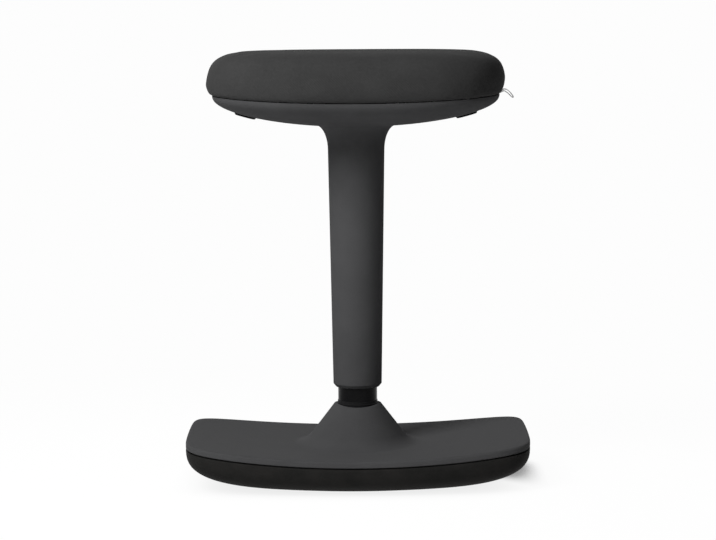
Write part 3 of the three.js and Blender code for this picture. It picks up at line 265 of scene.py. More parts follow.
# Compression-moulded rubber: black and dull, a little paler where it is scuffed
RUBBER = grained("moulded_rubber", "black_rubber", ("#212120", "#292827", "#454240"),
                 25 * MM, (0.6, 0.75), 1.1 * MM, 0.06 * MM, Specular_IOR_Level=0.03, IOR=1.52)
# Glass-filled nylon, moulded black: satin, with faint swirls of the filling
NYLON = grained("glass_filled_nylon", "black_plastic", ("#070708", "#0c0c0d", "#222223"),
                8 * MM, (0.38, 0.52), 0.8 * MM, 0.03 * MM, Specular_IOR_Level=0.02, IOR=1.53)
# Acetal, moulded black: smooth and satin, a shade paler than the nylon
ACETAL = grained("moulded_acetal", "black_plastic", ("#1c1c1d", "#242425", "#3a3a3b"),
                 8 * MM, (0.4, 0.5), 0.8 * MM, 0.02 * MM, Specular_IOR_Level=0.03, IOR=1.48)
# Steel with a satin black powder coat: a faint orange peel and soft upright reflections
COATED = grained("powder_coated_steel", "black_steel", ("#0a0a0b", "#0f0f10", "#222223"),
                 14 * MM, (0.22, 0.3), 1.6 * MM, 0.02 * MM, Specular_IOR_Level=0.06, IOR=1.5)
# Zinc-plated steel: cool grey, cloudy, with fine marks of the tools
ZINC = grained("zinc_plated_steel", "bright_steel", ("#a7aaad", "#c1c4c8", "#dcdee0"),
               5 * MM, (0.26, 0.42), 0.6 * MM, 0.02 * MM, Metallic=1.0)
# Unfilled nylon in its natural off-white: waxy
PALE = grained("natural_nylon", "pale_nylon", ("#d2cfc5", "#e0ded7", "#efeee9"),
               7 * MM, (0.38, 0.55), 1 * MM, 0.02 * MM, Specular_IOR_Level=0.5, IOR=1.53)
# Moulded polyurethane foam: grey, matt, with open cells of about 1 mm
FOAM = grained("moulded_foam", "grey_foam", ("#808285", "#96989b", "#a6a8ab"),
               12 * MM, (0.9, 1.0), 1 * MM, 0.2 * MM, Specular_IOR_Level=0.2)
CLOTH = woven_wool()
TAPE = woven_tape()

CAD_FINISHES = {
    "charcoal_plastic": PLASTIC,
    "black_rubber": RUBBER,
    "black_plastic": NYLON,
    "black_steel": COATED,
    "bright_steel": ZINC,
    "pale_nylon": PALE,
    "grey_foam": FOAM,
    "charcoal_fabric": CLOTH,
    "grey_ribbon": TAPE,
}


def finish_cad_nodes():
    """Gives each node of the model the finish of its material slot"""
    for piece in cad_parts.values():
        for place in piece.material_slots:
            slot = place.material.name.split(".")[0]
            if slot in CAD_FINISHES:
                place.material = CAD_FINISHES[slot]


# Tools of the modelling

SAME_POINT = 0.001 * MM


def deselect():
    bpy.ops.object.select_all(action="DESELECT")


def only(piece):
    deselect()
    piece.select_set(True)
    bpy.context.view_layer.objects.active = piece


def put_selected(piece, ring):
    """Moves the selected points onto a ring, each to its own place in the order"""
    mesh = bmesh.from_edit_mesh(piece.data)
    order = mesh.verts.layers.int["order"]
    for vertex in mesh.verts:
        if vertex.select:
            vertex.co = ring[vertex[order]]
    bmesh.update_edit_mesh(piece.data)


def skin(name, rings, round_a_bore=False):
    """A closed form: a circle extruded from ring to ring, its ends joined or drawn to a point"""
    deselect()
    bpy.ops.mesh.primitive_circle_add(vertices=len(rings[0]), radius=BASE_HALF_WIDTH)
    piece = bpy.context.object
    piece.name = name
    piece.data.name = name
    bpy.ops.object.mode_set(mode="EDIT")
    mesh = bmesh.from_edit_mesh(piece.data)
    order = mesh.verts.layers.int.new("order")
    for vertex in mesh.verts:
        vertex[order] = vertex.index
    bpy.ops.mesh.select_all(action="SELECT")
    put_selected(piece, rings[0])
    for ring in [*rings[1:], *([rings[0]] if round_a_bore else [])]:
        bpy.ops.mesh.extrude_edges_move()
        put_selected(piece, ring)
    if round_a_bore:
        bpy.ops.mesh.select_all(action="SELECT")
        bpy.ops.mesh.remove_doubles(threshold=SAME_POINT)
    else:
        bpy.ops.mesh.extrude_edges_move()
        bpy.ops.mesh.merge(type="CENTER")
        bpy.ops.mesh.select_all(action="DESELECT")
        bpy.ops.mesh.select_non_manifold()
        bpy.ops.mesh.extrude_edges_move()
        bpy.ops.mesh.merge(type="CENTER")
    bpy.ops.mesh.select_all(action="SELECT")
    bpy.ops.mesh.normals_make_consistent(inside=False)
    bpy.ops.object.mode_set(mode="OBJECT")
    piece.data.attributes.remove(piece.data.attributes["order"])
    return piece


def smooth(piece, degrees=32):
    only(piece)
    bpy.ops.object.shade_smooth_by_angle(angle=math.radians(degrees))


def settle(piece):
    """Puts the object itself at the origin and leaves its place in its mesh"""
    only(piece)
    bpy.ops.object.transform_apply(location=True, rotation=True, scale=True)


def apply_all(piece):
    only(piece)
    for modifier in list(piece.modifiers):
        bpy.ops.object.modifier_apply(modifier=modifier.name)


def cut(piece, cutters):
    """Takes the cutters out of a piece and throws them away"""
    for cutter in cutters:
        modifier = piece.modifiers.new("Cut", "BOOLEAN")
        modifier.operation = "DIFFERENCE"
        modifier.solver = "EXACT"
        modifier.object = cutter
    apply_all(piece)
    for cutter in cutters:
        bpy.data.objects.remove(cutter)


def dress(piece, finish, body, *replaced):
    """Gives a finished piece its material, which carries its slot, and its body, and hides the nodes that it
    stands for
    """
    piece.data.materials.clear()
    piece.data.materials.append(finish)
    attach(piece, body)
    if replaced:
        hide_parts(*replaced)
    return piece


def directions(count, crowding):
    """Angles round a ring, closer together at its four corners by the crowding share"""
    corners = 4
    even = [2 * math.pi * i / count for i in range(count)]
    return [angle + crowding * math.sin(corners * angle) / corners for angle in even]


def unit_outline(angle, squareness):
    """A point on a rounded rectangle with half sizes of 1: squareness 2 is an ellipse"""
    c, s = math.cos(angle), math.sin(angle)
    reach = (abs(c) ** squareness + abs(s) ** squareness) ** (-1 / squareness)
    return c * reach, s * reach


def lerp(a, b, share):
    return a + (b - a) * share


def shares(steps):
    return [i / steps for i in range(steps + 1)]


def turned(name, section, sides=96):
    """A turned piece from a closed section of (radius, level)"""
    angles = directions(sides, crowding=0)
    rings = [[Vector((r * math.cos(a), r * math.sin(a), z)) for a in angles] for r, z in section]
    return skin(name, rings, round_a_bore=True)


def rounded_corner(corner, before, after, radius, steps=4):
    """Points of a small round in a section's corner"""
    corner, before, after = Vector(corner), Vector(before), Vector(after)
    start = corner + (before - corner).normalized() * radius
    end = corner + (after - corner).normalized() * radius
    points = []
    for share in shares(steps):
        first = start.lerp(corner, share)
        second = corner.lerp(end, share)
        points.append(tuple(first.lerp(second, share)))
    return points


# Base

BASE_DIRECTIONS = directions(count=232, crowding=0.6)


def rise_at(x):
    return BASE_RISE * (x / BASE_HALF_WIDTH) ** 2


def base_plan(angle, inset=0.0):
    u, v = unit_outline(angle, BASE_SQUARENESS)
    x = (BASE_HALF_WIDTH - inset) * u * (1 - BASE_END_BOW_SHARE * v * v)
    y = (BASE_HALF_DEPTH - inset) * v * (1 - BASE_SIDE_BOW_SHARE * u * u)
    return x, y


def base_ring(inset, level):
    plan = [base_plan(angle, inset) for angle in BASE_DIRECTIONS]
    return [Vector((x, y, level + rise_at(x))) for x, y in plan]


def sole_ring(inset, floor, turn):
    """A ring of the sole's side, turned up from its flat patch"""
    ring = []
    out = math.sin(turn) ** (2 / SOLE_FULLNESS)
    up = 1 - math.cos(turn) ** (2 / SOLE_FULLNESS)
    for angle in BASE_DIRECTIONS:
        x, y = base_plan(angle, inset)
        rim = SOLE_RIM + rise_at(x)
        ring.append(Vector((
            lerp(PATCH_HALF_WIDTH * math.cos(angle), x, out),
            lerp(PATCH_HALF_DEPTH * math.sin(angle), y, out),
            lerp(floor, rim, up),
        )))
    return ring


# The base's screws, in millimetres from its middle
BASE_SCREWS = [(-128, -72), (128, -72), (128, 72), (-128, 72), (0, -92), (0, 92)]
BASE_SCREW_SINK = 5 * MM
POCKET_RADIUS = 5.2 * MM


def base_screw_places():
    return [(x * MM, y * MM) for x, y in BASE_SCREWS]


def screw_seat(x):
    return BASE_SCREW_SINK + rise_at(x) / 2


def peg(radius, low, high, x, y, sides=40):
    """An upright cutter with a round section"""
    deselect()
    bpy.ops.mesh.primitive_cylinder_add(
        vertices=sides, radius=radius, depth=high - low, location=(x, y, (low + high) / 2))
    settle(bpy.context.object)
    return bpy.context.object


def rocker_sole():
    rim_round = 1.6 * MM
    cutter_reach = 2 * MM
    patch_shares = (0.5, 0.85)
    turns = [share * QUARTER for share in shares(22)]
    outside = [sole_ring(0, 0, turn) for turn in turns[:-1]]
    edge = [
        base_ring(rim_round * (1 - math.cos(share * QUARTER)),
                  SOLE_RIM - rim_round * (1 - math.sin(share * QUARTER)))
        for share in shares(4)
    ]
    rim = [
        base_ring(TONGUE_INSET, SOLE_RIM),
        base_ring(TONGUE_INSET, SOLE_RIM + TONGUE_HEIGHT),
        base_ring(TONGUE_INSET + TONGUE_WALL, SOLE_RIM + TONGUE_HEIGHT),
    ]
    inside = [sole_ring(SOLE_WALL, SOLE_FLOOR, turn) for turn in reversed(turns[::3])]
    patch = [[point.lerp(Vector((0, 0, 0)), share) for point in outside[0]] for share in patch_shares]
    sole = skin("sole", [*patch, *outside, *edge, *rim, *inside])
    pockets = [peg(POCKET_RADIUS, -cutter_reach, screw_seat(x), x, y) for x, y in base_screw_places()]
    cut(sole, pockets)
    smooth(sole)
    return dress(sole, RUBBER, "base", "rocker_sole")


def hub_section():
    """The hub's section as radius, height above the cover and slope, from its rim to its foot"""
    turn = 1 - math.cos(HUB_FLANK)
    flank = (HUB_HEIGHT - (HUB_RIM_ROUND + HUB_FOOT_ROUND) * turn) / math.sin(HUB_FLANK)
    rounds = HUB_RIM_ROUND + HUB_FOOT_ROUND
    foot = HUB_BORE + rounds * math.sin(HUB_FLANK) + flank * math.cos(HUB_FLANK)
    section = []
    for share in shares(8):
        slope = share * HUB_FLANK
        section.append((HUB_BORE + HUB_RIM_ROUND * math.sin(slope),
                        HUB_HEIGHT - HUB_RIM_ROUND * (1 - math.cos(slope)), slope))
    top, low = section[-1], (foot - HUB_FOOT_ROUND * math.sin(HUB_FLANK), HUB_FOOT_ROUND * turn)
    for share in shares(5)[1:-1]:
        section.append((lerp(top[0], low[0], share), lerp(top[1], low[1], share), HUB_FLANK))
    for share in reversed(shares(14)):
        slope = share * HUB_FLANK
        section.append((foot - HUB_FOOT_ROUND * math.sin(slope),
                        HUB_FOOT_ROUND * (1 - math.cos(slope)), slope))
    return section


def base_cover():
    section = hub_section()
    foot = section[-1][0]

    def round_ring(radius, height):
        """The rocker's curve fades out up the hub, so that its rim is level"""
        fade = min(max((radius - HUB_BORE) / (foot - HUB_BORE), 0), 1)
        points = [(radius * math.cos(a), radius * math.sin(a)) for a in BASE_DIRECTIONS]
        return [Vector((x, y, COVER_TOP + height + rise_at(x) * fade)) for x, y in points]

    def rim_ring(radius, height):
        """A ring near the hub's rim, which dips a little in front and at the back"""
        near = max(1 - (radius - HUB_BORE) / HUB_RIM_REACH, 0)
        ring = round_ring(radius, height)
        for point, angle in zip(ring, BASE_DIRECTIONS):
            point.z -= HUB_RIM_DIP * near * math.sin(angle) ** 2
        return ring

    def between_ring(share, inset, drop):
        ring = []
        for angle in BASE_DIRECTIONS:
            edge_x, edge_y = base_plan(angle, inset)
            x = lerp(foot * math.cos(angle), edge_x, share)
            y = lerp(foot * math.sin(angle), edge_y, share)
            ring.append(Vector((x, y, COVER_TOP - drop + rise_at(x))))
        return ring

    collar = HUB_HEIGHT - HUB_COLLAR_DEPTH
    collar_step = 2.5 * MM
    collar_radius = HUB_BORE + collar_step
    lip = 0.8 * MM
    bore = [
        round_ring(HUB_BORE, collar),
        rim_ring(HUB_BORE, HUB_HEIGHT - 3 * lip),
        rim_ring(HUB_BORE, HUB_HEIGHT - lip),
        rim_ring(HUB_BORE + 0.3 * lip, HUB_HEIGHT - 0.3 * lip),
        rim_ring(HUB_BORE + lip, HUB_HEIGHT),
    ]
    hub = [rim_ring(radius, height) for radius, height, slope in section if radius > HUB_BORE + lip]
    top = [between_ring(share, COVER_EDGE, 0) for share in shares(9)[1:-1]]
    edge = [
        base_ring(COVER_EDGE * (1 - math.sin(share * QUARTER)),
                  COVER_TOP - COVER_EDGE * (1 - math.cos(share * QUARTER)))
        for share in shares(7)
    ]
    hem = 1 * MM
    skirt = [
        base_ring(0, COVER_SEAM + 2 * hem),
        base_ring(0, COVER_SEAM + hem),
        base_ring(0.3 * hem, COVER_SEAM + 0.3 * hem),
        base_ring(hem, COVER_SEAM),
        base_ring(COVER_SKIRT_WALL, COVER_SEAM),
        base_ring(COVER_SKIRT_WALL, COVER_TOP - COVER_WALL),
        between_ring(0.5, COVER_SKIRT_WALL, COVER_WALL),
    ]
    hollow = [
        (radius - COVER_WALL * math.sin(slope), height - COVER_WALL * math.cos(slope))
        for radius, height, slope in reversed(section)
        if radius - COVER_WALL * math.sin(slope) > collar_radius
    ]
    inner = [round_ring(radius, height) for radius, height in hollow]
    neck = [round_ring(collar_radius, hollow[-1][1]), round_ring(collar_radius, collar)]
    cover = skin("cover", [*bore, *hub, *top, *edge, *skirt, *inner, *neck], round_a_bore=True)
    smooth(cover)
    return dress(cover, PLASTIC, "base", "base_cover")


def hub_wiper():
    """The black ring that closes the hub round the tube: a lip on a narrow waist, and a grooved neck"""
    rim_drop, tube_gap, bore_gap = 1.2 * MM, 0.15 * MM, 0.3 * MM
    neck_reach, waist_step = 0.5 * MM, 0.8 * MM
    lip, step, round_off = 1.8 * MM, 0.5 * MM, 0.3 * MM
    low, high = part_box("hub_ring")[0].z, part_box("hub_ring")[1].z - rim_drop
    inner, outer, neck = TUBE_RADIUS + tube_gap, HUB_BORE - bore_gap, TUBE_RADIUS + neck_reach
    waist = outer - waist_step
    section = [
        (inner, low), (waist, low), (waist, high - lip), (outer, high - lip + step),
        *rounded_corner((outer, high), (outer, low), (neck, high), round_off), (neck, high),
    ]
    rib, groove = 0.9 * MM, 0.4 * MM
    for _ in range(2):
        level = section[-1][1]
        section += [
            (neck, level + rib), (neck - groove, level + rib + groove / 2),
            (neck - groove, level + rib + groove), (neck, level + rib + 1.5 * groove),
        ]
    section.append((inner, section[-1][1]))
    ring = turned("hub_wiper", section)
    smooth(ring)
    return dress(ring, ACETAL, "base", "hub_ring")


def lift_tube():
    foot_bore = 4.4 * MM
    end_wall = 3 * MM
    section = [
        (foot_bore, TUBE_FOOT), (TUBE_FOOT_RADIUS, TUBE_FOOT), (TUBE_RADIUS, TUBE_TAPER_TOP),
        (TUBE_RADIUS, TUBE_TOP), (TUBE_RADIUS - TUBE_WALL, TUBE_TOP),
        (TUBE_RADIUS - TUBE_WALL, TUBE_TAPER_TOP),
        (TUBE_FOOT_RADIUS - TUBE_WALL, TUBE_FOOT + end_wall), (foot_bore, TUBE_FOOT + end_wall),
    ]
    tube = turned("tube", section, sides=128)
    smooth(tube)
    return dress(tube, COATED, "base", "lift_tube")


# Seat shell

SEAT_DIRECTIONS = directions(count=200, crowding=0.35)


def seat_rise_at(x):
    return SEAT_RISE * (x / SHELL_HALF_WIDTH) ** 2


def seat_plan(angle, share, inset=0.0):
    u, v = unit_outline(angle, SEAT_SQUARENESS)
    return (SHELL_HALF_WIDTH - inset) * u * share, (SHELL_HALF_DEPTH - inset) * v * share


def underside_at(x, y, inset=0.0):
    """The level of the shell's underside, or of a surface that lies inside it by an inset"""
    u = abs(x / (SHELL_HALF_WIDTH - inset)) ** SEAT_SQUARENESS
    v = abs(y / (SHELL_HALF_DEPTH - inset)) ** SEAT_SQUARENESS
    share = min(1, (u + v) ** (1 / SEAT_SQUARENESS))
    drop = (1 - share ** SHELL_FLATNESS) ** (1 / SHELL_FULLNESS)
    return SEAM + seat_rise_at(x) - (SHELL_DEPTH - inset) * drop


def underside_ring(share, inset=0.0, drawn_in=0.0):
    ring = []
    reach = SLEEVE_RADIUS + FILLET_WIDTH - drawn_in
    for angle in SEAT_DIRECTIONS:
        edge_x, edge_y = seat_plan(angle, 1, inset)
        x = lerp(reach * math.cos(angle), edge_x, share)
        y = lerp(reach * math.sin(angle), edge_y, share)
        ring.append(Vector((x, y, underside_at(x, y, inset))))
    return ring


def fillet_ring(turn, inset=0.0, drawn_in=0.0):
    outer = SLEEVE_RADIUS + FILLET_WIDTH - drawn_in
    radius = outer - FILLET_WIDTH * math.sin(turn)
    ring = []
    for angle in SEAT_DIRECTIONS:
        c, s = math.cos(angle), math.sin(angle)
        top = underside_at(outer * c, outer * s, inset)
        level = lerp(top, FILLET_FOOT + inset, 1 - math.cos(turn))
        ring.append(Vector((radius * c, radius * s, level)))
    return ring


def sleeve_ring(radius, level):
    return [Vector((radius * math.cos(a), radius * math.sin(a), level)) for a in SEAT_DIRECTIONS]


# The shell's screws, in millimetres from its middle
SHELL_SCREWS = [(-96, -70), (96, -70), (96, 70), (-96, 70)]
SHELL_SCREW_SINK = 5 * MM


def shell_screw_places():
    """Where the shell's screws are, and the level that each one's head comes up to"""
    places = [(x * MM, y * MM) for x, y in SHELL_SCREWS]
    return [(x, y, underside_at(x, y) + SHELL_SCREW_SINK) for x, y in places]


def paddle_places():
    middle = (PADDLE_INNER + PADDLE_OUTER) / 2
    return [(-middle, "left"), (middle, "right")]


def window_cutter(middle):
    """The block that opens one paddle's window, with rounded upright edges"""
    drop, height, corner = 30 * MM, 58 * MM, 3.5 * MM
    deselect()
    bpy.ops.mesh.primitive_cube_add(size=1, location=(middle, 0, SEAM - drop))
    block = bpy.context.object
    width = PADDLE_OUTER - PADDLE_INNER + 2 * WINDOW_GAP
    block.scale = (width, 2 * (PADDLE_HALF_LENGTH + WINDOW_GAP), height)
    settle(block)
    bpy.ops.object.mode_set(mode="EDIT")
    mesh = bmesh.from_edit_mesh(block.data)
    for edge in mesh.edges:
        a, b = edge.verts
        edge.select_set(abs(a.co.z - b.co.z) > MM)
    bmesh.update_edit_mesh(block.data)
    bpy.ops.mesh.bevel(offset=corner, segments=5)
    bpy.ops.object.mode_set(mode="OBJECT")
    return block


def seat_shell():
    steps, outer_part, inner_shares = 26, 0.42, [0.36, 0.28, 0.2, 0.12, 0.05]
    drops = [i / steps for i in range(steps - 2)]
    out = [(1 - drop ** SHELL_FULLNESS) ** (1 / SHELL_FLATNESS) for drop in drops]
    out = [share for share in out if share > outer_part] + inner_shares
    turns = [share * QUARTER for share in shares(11)]
    sleeve = [
        sleeve_ring(lerp(SLEEVE_RADIUS, SLEEVE_END_RADIUS, share),
                    lerp(FILLET_FOOT, SLEEVE_END + SLEEVE_CHAMFER, share))
        for share in shares(8)[1:-1]
    ]
    end_face, end_round, chamfer_round, rim = 0.6 * MM, 0.4 * MM, 0.8 * MM, 0.8 * MM
    end = SLEEVE_END_RADIUS - SLEEVE_CHAMFER + end_face
    chamfer = rounded_corner((SLEEVE_END_RADIUS, SLEEVE_END + SLEEVE_CHAMFER),
                             (SLEEVE_END_RADIUS, SLEEVE_END + 2 * SLEEVE_CHAMFER),
                             (end, SLEEVE_END), chamfer_round)
    outside = [
        *[underside_ring(share) for share in out],
        *[fillet_ring(turn) for turn in turns],
        *sleeve,
        *[sleeve_ring(radius, level) for radius, level in chamfer],
        sleeve_ring(end + end_round, SLEEVE_END + end_round),
        sleeve_ring(end, SLEEVE_END),
    ]
    wall_growth = 0.6 * MM
    inside = [
        sleeve_ring(LIP_RADIUS, SLEEVE_END),
        sleeve_ring(LIP_RADIUS, SLEEVE_END + LIP_HEIGHT),
        sleeve_ring(BUSH_POCKET, SLEEVE_END + LIP_HEIGHT),
        sleeve_ring(BUSH_POCKET, BUSH_TOP),
        sleeve_ring(SLEEVE_END_RADIUS - SLEEVE_WALL + wall_growth, BUSH_TOP + SLEEVE_CHAMFER),
        *[fillet_ring(turn, SHELL_WALL, SHELL_WALL) for turn in reversed(turns[3::4])],
        *[underside_ring(share, SHELL_WALL, SHELL_WALL) for share in reversed(out[1::3])],
    ]
    lip = [
        [Vector((*seat_plan(angle, 1, inset), SEAM - drop)) for angle in SEAT_DIRECTIONS]
        for inset, drop in [(SHELL_WALL, 0), (rim, 0), (0.3 * rim, 0.3 * rim)]
    ]
    for ring in lip:
        for point in ring:
            point.z += seat_rise_at(point.x)
    shell = skin("shell", [*outside, *inside, *lip], round_a_bore=True)
    windows = [window_cutter(middle) for middle, hand in paddle_places()]
    pocket_radius, pocket_reach = 4.6 * MM, 30 * MM
    pockets = [peg(pocket_radius, seat - pocket_reach, seat, x, y)
               for x, y, seat in shell_screw_places()]
    cut(shell, [*windows, *pockets])
    smooth(shell)
    return dress(shell, PLASTIC, "seat", "seat_shell")


def paddle(middle, hand):
    """A finger paddle that follows the shell's underside and stands a little proud of it"""
    half_width = (PADDLE_OUTER - PADDLE_INNER) / 2
    edge, side, thickness = 1 * MM, 6 * MM, 7 * MM
    squareness = 9
    face_shares = (0.97, 0.75, 0.5, 0.25)
    angles = directions(count=96, crowding=0.6)

    def ring(inset, depth):
        points = []
        for angle in angles:
            u, v = unit_outline(angle, squareness)
            x = middle + (half_width - inset) * u
            y = (PADDLE_HALF_LENGTH - inset) * v
            points.append(Vector((x, y, underside_at(x, y) - PADDLE_PROUD + depth)))
        return points

    insets = [half_width * share for share in face_shares]
    face = [ring(inset, 0) for inset in insets]
    corner = [
        ring(edge * (1 - math.sin(share * QUARTER)), edge * (1 - math.cos(share * QUARTER)))
        for share in shares(5)
    ]
    back = [ring(0, side), ring(edge, thickness), ring(insets[1], thickness)]
    made = skin(f"paddle_cap_{hand}", [*face, *corner, *back])
    smooth(made)
    return dress(made, NYLON, f"release_{hand}", f"paddle_{hand}")


# Cushion

CUSHION_DIRECTIONS = directions(count=180, crowding=0.35)
TOP_SHARES = [0.1, 0.3, 0.5, 0.62, 0.72, 0.8, 0.86, 0.9, 0.93, 0.955, 0.972, 0.985, 0.994, 0.999]
UNDERSIDE_SHARES = [0.9, 0.6, 0.3]


def right_end(angle):
    """How far a direction points to the right end"""
    return max(0, math.cos(angle)) ** 2


def cushion_ring(share, inset, level):
    """A ring of the cushion: its inset and its level depend on the direction"""
    ring = []
    for angle in CUSHION_DIRECTIONS:
        x, y = seat_plan(angle, share, inset(angle) - CUSHION_OVERHANG)
        ring.append(Vector((x, y, level(x, angle))))
    return ring


def joint_at(x):
    return SEAM + SEAM_GAP + seat_rise_at(x)


def waist_at(angle):
    """The level where the cushion is widest, higher at the right end"""
    return CUSHION_WAIST + RIGHT_WAIST_LIFT * (1 + math.cos(angle)) / 2


def cushion_form(inset):
    """The cushion's closed form, smaller all round by an inset"""
    rings = []

    def top_at(share, angle):
        """The right end is stuffed a little fuller than the left one"""
        waist = waist_at(angle)
        height = CUSHION_TOP - inset - waist
        flatness = lerp(CUSHION_FLATNESS, RIGHT_END_FLATNESS, right_end(angle))
        level = waist + height * math.sqrt(1 - share ** flatness) - CUSHION_CROWN * share ** 2
        return max(level, waist)

    def side_at(x, angle, share):
        return lerp(waist_at(angle), joint_at(x), share)

    def drawn_in(angle, turn):
        """The side curves in to the joint, at the right end more in a straight line"""
        curved, straight = 1 - math.cos(turn), math.sin(turn)
        share = lerp(curved, straight, RIGHT_END_STRAIGHTNESS * right_end(angle))
        return inset * math.cos(turn) + CUSHION_OVERHANG * share

    for share in TOP_SHARES:
        rings.append(cushion_ring(share, lambda angle: inset, lambda x, angle: top_at(share, angle)))
    for share in shares(9):
        turn = share * QUARTER
        rings.append(cushion_ring(1, lambda angle: drawn_in(angle, turn),
                                  lambda x, angle: side_at(x, angle, math.sin(turn))))
    for share in UNDERSIDE_SHARES:
        rings.append(cushion_ring(share, lambda angle: CUSHION_OVERHANG, lambda x, angle: joint_at(x)))
    return skin("cushion", rings)


def simulate(pad):
    """Fills the cover by cloth pressure, with every point held near the form that it was sewn to"""
    reach, hem, frames = 0.9 * MM, 6 * MM, 20
    start = [vertex.co.copy() for vertex in pad.data.vertices]
    sewn = [i for i, point in enumerate(start) if point.z < joint_at(point.x) + hem]
    pad.vertex_groups.new(name="seam").add(sewn, 1.0, "REPLACE")
    modifier = pad.modifiers.new("Cloth", "CLOTH")
    settings = modifier.settings
    settings.quality = 6
    settings.mass = 0.3
    settings.use_pressure = True
    settings.uniform_pressure_force = 4
    settings.vertex_group_mass = "seam"
    settings.effector_weights.gravity = 0
    modifier.point_cache.frame_start = 1
    modifier.point_cache.frame_end = frames
    scene = bpy.context.scene
    for number in range(1, frames + 1):
        scene.frame_set(number)
        bpy.context.view_layer.update()
    only(pad)
    bpy.ops.object.modifier_apply(modifier=modifier.name)
    scene.frame_set(1)
    for vertex, point in zip(pad.data.vertices, start):
        moved = vertex.co - point
        vertex.co = point + moved * (reach / (reach + moved.length))
    pad.vertex_groups.clear()


def cushion():
    swell, mesh_size = 0.3 * MM, 5 * MM
    pad = cushion_form(swell)
    only(pad)
    pad.data.remesh_voxel_size = mesh_size
    bpy.ops.object.voxel_remesh()
    simulate(pad)
    rounder = pad.modifiers.new("Round", "SUBSURF")
    rounder.levels = rounder.render_levels = 1
    apply_all(pad)
    smooth(pad, degrees=60)
    return dress(pad, CLOTH, "seat", "cushion_cover", "seat_foam")


# Pull tab

TAB_WIDTH = 12 * MM
TAB_THICKNESS = 1.1 * MM
TAB_REACH = 22 * MM
TAB_SETBACK = 44 * MM
TAB_ROOT_GAP = 0.3 * MM
# Points round the loop, as shares of its reach: out of the joint and up
TAB_LOOP = [
    (0, 0), (0.16, 0.06), (0.36, 0.16), (0.56, 0.155), (0.74, 0.02), (0.87, -0.13), (0.95, -0.25),
    (0.94, -0.31), (0.87, -0.285), (0.74, -0.15), (0.58, -0.011), (0.395, 0.07), (0.186, -0.02),
]


def smooth_path(points, steps):
    """A closed Catmull-Rom line through the points, at even steps"""
    dense, parts = [], 12
    ends = [points[-1], *points, points[0], points[1]]
    for a, b, c, d in zip(ends, ends[1:], ends[2:], ends[3:]):
        for i in range(parts):
            t = i / parts
            dense.append(0.5 * ((2 * b) + (c - a) * t + (2 * a - 5 * b + 4 * c - d) * t * t
                                + (3 * b - a - 3 * c + d) * t ** 3))
    dense.append(points[0])
    lengths = [0.0]
    for a, b in zip(dense, dense[1:]):
        lengths.append(lengths[-1] + (b - a).length)
    line, k = [], 0
    for i in range(steps + 1):
        want = lengths[-1] * i / steps
        while k < len(lengths) - 2 and lengths[k + 1] < want:
            k += 1
        span = lengths[k + 1] - lengths[k]
        line.append(dense[k].lerp(dense[k + 1], (want - lengths[k]) / span if span else 0))
    return line, lengths[-1]


def pull_tab():
    """A tape folded into a loop, which comes out of the joint at the right end of the seat"""
    steps, across = 72, 8
    weld, edge_round = 0.01 * MM, 0.2 * MM
    near_side = (TAB_SETBACK - TAB_WIDTH / 2) / SHELL_HALF_DEPTH
    edge = SHELL_HALF_WIDTH * (1 - near_side ** SEAT_SQUARENESS) ** (1 / SEAT_SQUARENESS)
    root = Vector((edge + TAB_THICKNESS / 2 + TAB_ROOT_GAP, TAB_SETBACK,
                   SEAM + SEAT_RISE - TAB_THICKNESS / 2))
    loop = [root + TAB_REACH * Vector((out, 0, up)) for out, up in TAB_LOOP]
    line, length = smooth_path(loop, steps)
    deselect()
    bpy.ops.mesh.primitive_grid_add(x_subdivisions=steps, y_subdivisions=across, size=1)
    tape = bpy.context.object
    tape.name = "tape"
    for vertex in tape.data.vertices:
        along = round((vertex.co.x + 0.5) * steps)
        vertex.co = line[along] + Vector((0, vertex.co.y * TAB_WIDTH, 0))
    only(tape)
    bpy.ops.object.mode_set(mode="EDIT")
    bpy.ops.mesh.select_all(action="SELECT")
    bpy.ops.mesh.remove_doubles(threshold=weld)
    bpy.ops.mesh.normals_make_consistent(inside=False)
    bpy.ops.object.mode_set(mode="OBJECT")
    thick = tape.modifiers.new("Thick", "SOLIDIFY")
    thick.thickness = TAB_THICKNESS
    thick.offset = 0
    soft = tape.modifiers.new("Soft", "BEVEL")
    soft.width = edge_round
    soft.segments = 2
    apply_all(tape)
    smooth(tape, degrees=50)
    return dress(tape, TAPE, "seat", "pull_tab")


# Screws

SCREW_PLAY = 0.3 * MM


def screw(name, head_radius, head_height, shank_radius, seat, tip, x, y):
    """A screw driven from below: a rounded head with a hexagonal recess, and its shank"""
    section = [
        (0.2 * head_radius, seat - head_height), (0.8 * head_radius, seat - head_height),
        (head_radius, seat - 0.8 * head_height), (head_radius, seat), (shank_radius, seat),
        (shank_radius, tip - shank_radius), (0.1 * shank_radius, tip),
    ]
    rings = []
    for radius, level in section:
        rings.append([Vector((x + radius * math.cos(angle), y + radius * math.sin(angle), level))
                      for angle in directions(count=36, crowding=0)])
    made = skin(name, rings)
    recess = peg(0.55 * head_radius, seat - 1.5 * head_height, seat - 0.4 * head_height, x, y, sides=6)
    cut(made, [recess])
    smooth(made)
    return made


def base_screws():
    head_radius, shank_radius = 4.8 * MM, 2.5 * MM
    for i, (x, y) in enumerate(base_screw_places(), 1):
        low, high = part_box(f"base_screw_{i}")
        seat = screw_seat(x) - SCREW_PLAY
        made = screw(f"sole_screw_{i}", head_radius, seat - low.z, shank_radius, seat, high.z, x, y)
        dress(made, ZINC, "base", f"base_screw_{i}")


def shell_screws():
    head_radius, shank_radius = 4.2 * MM, 2.2 * MM
    for i, (x, y, pocket_top) in enumerate(shell_screw_places(), 1):
        low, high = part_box(f"shell_screw_{i}")
        seat = pocket_top - SCREW_PLAY
        made = screw(f"underside_screw_{i}", head_radius, seat - low.z, shank_radius, seat, high.z, x, y)
        dress(made, ZINC, "seat", f"shell_screw_{i}")


# Studio

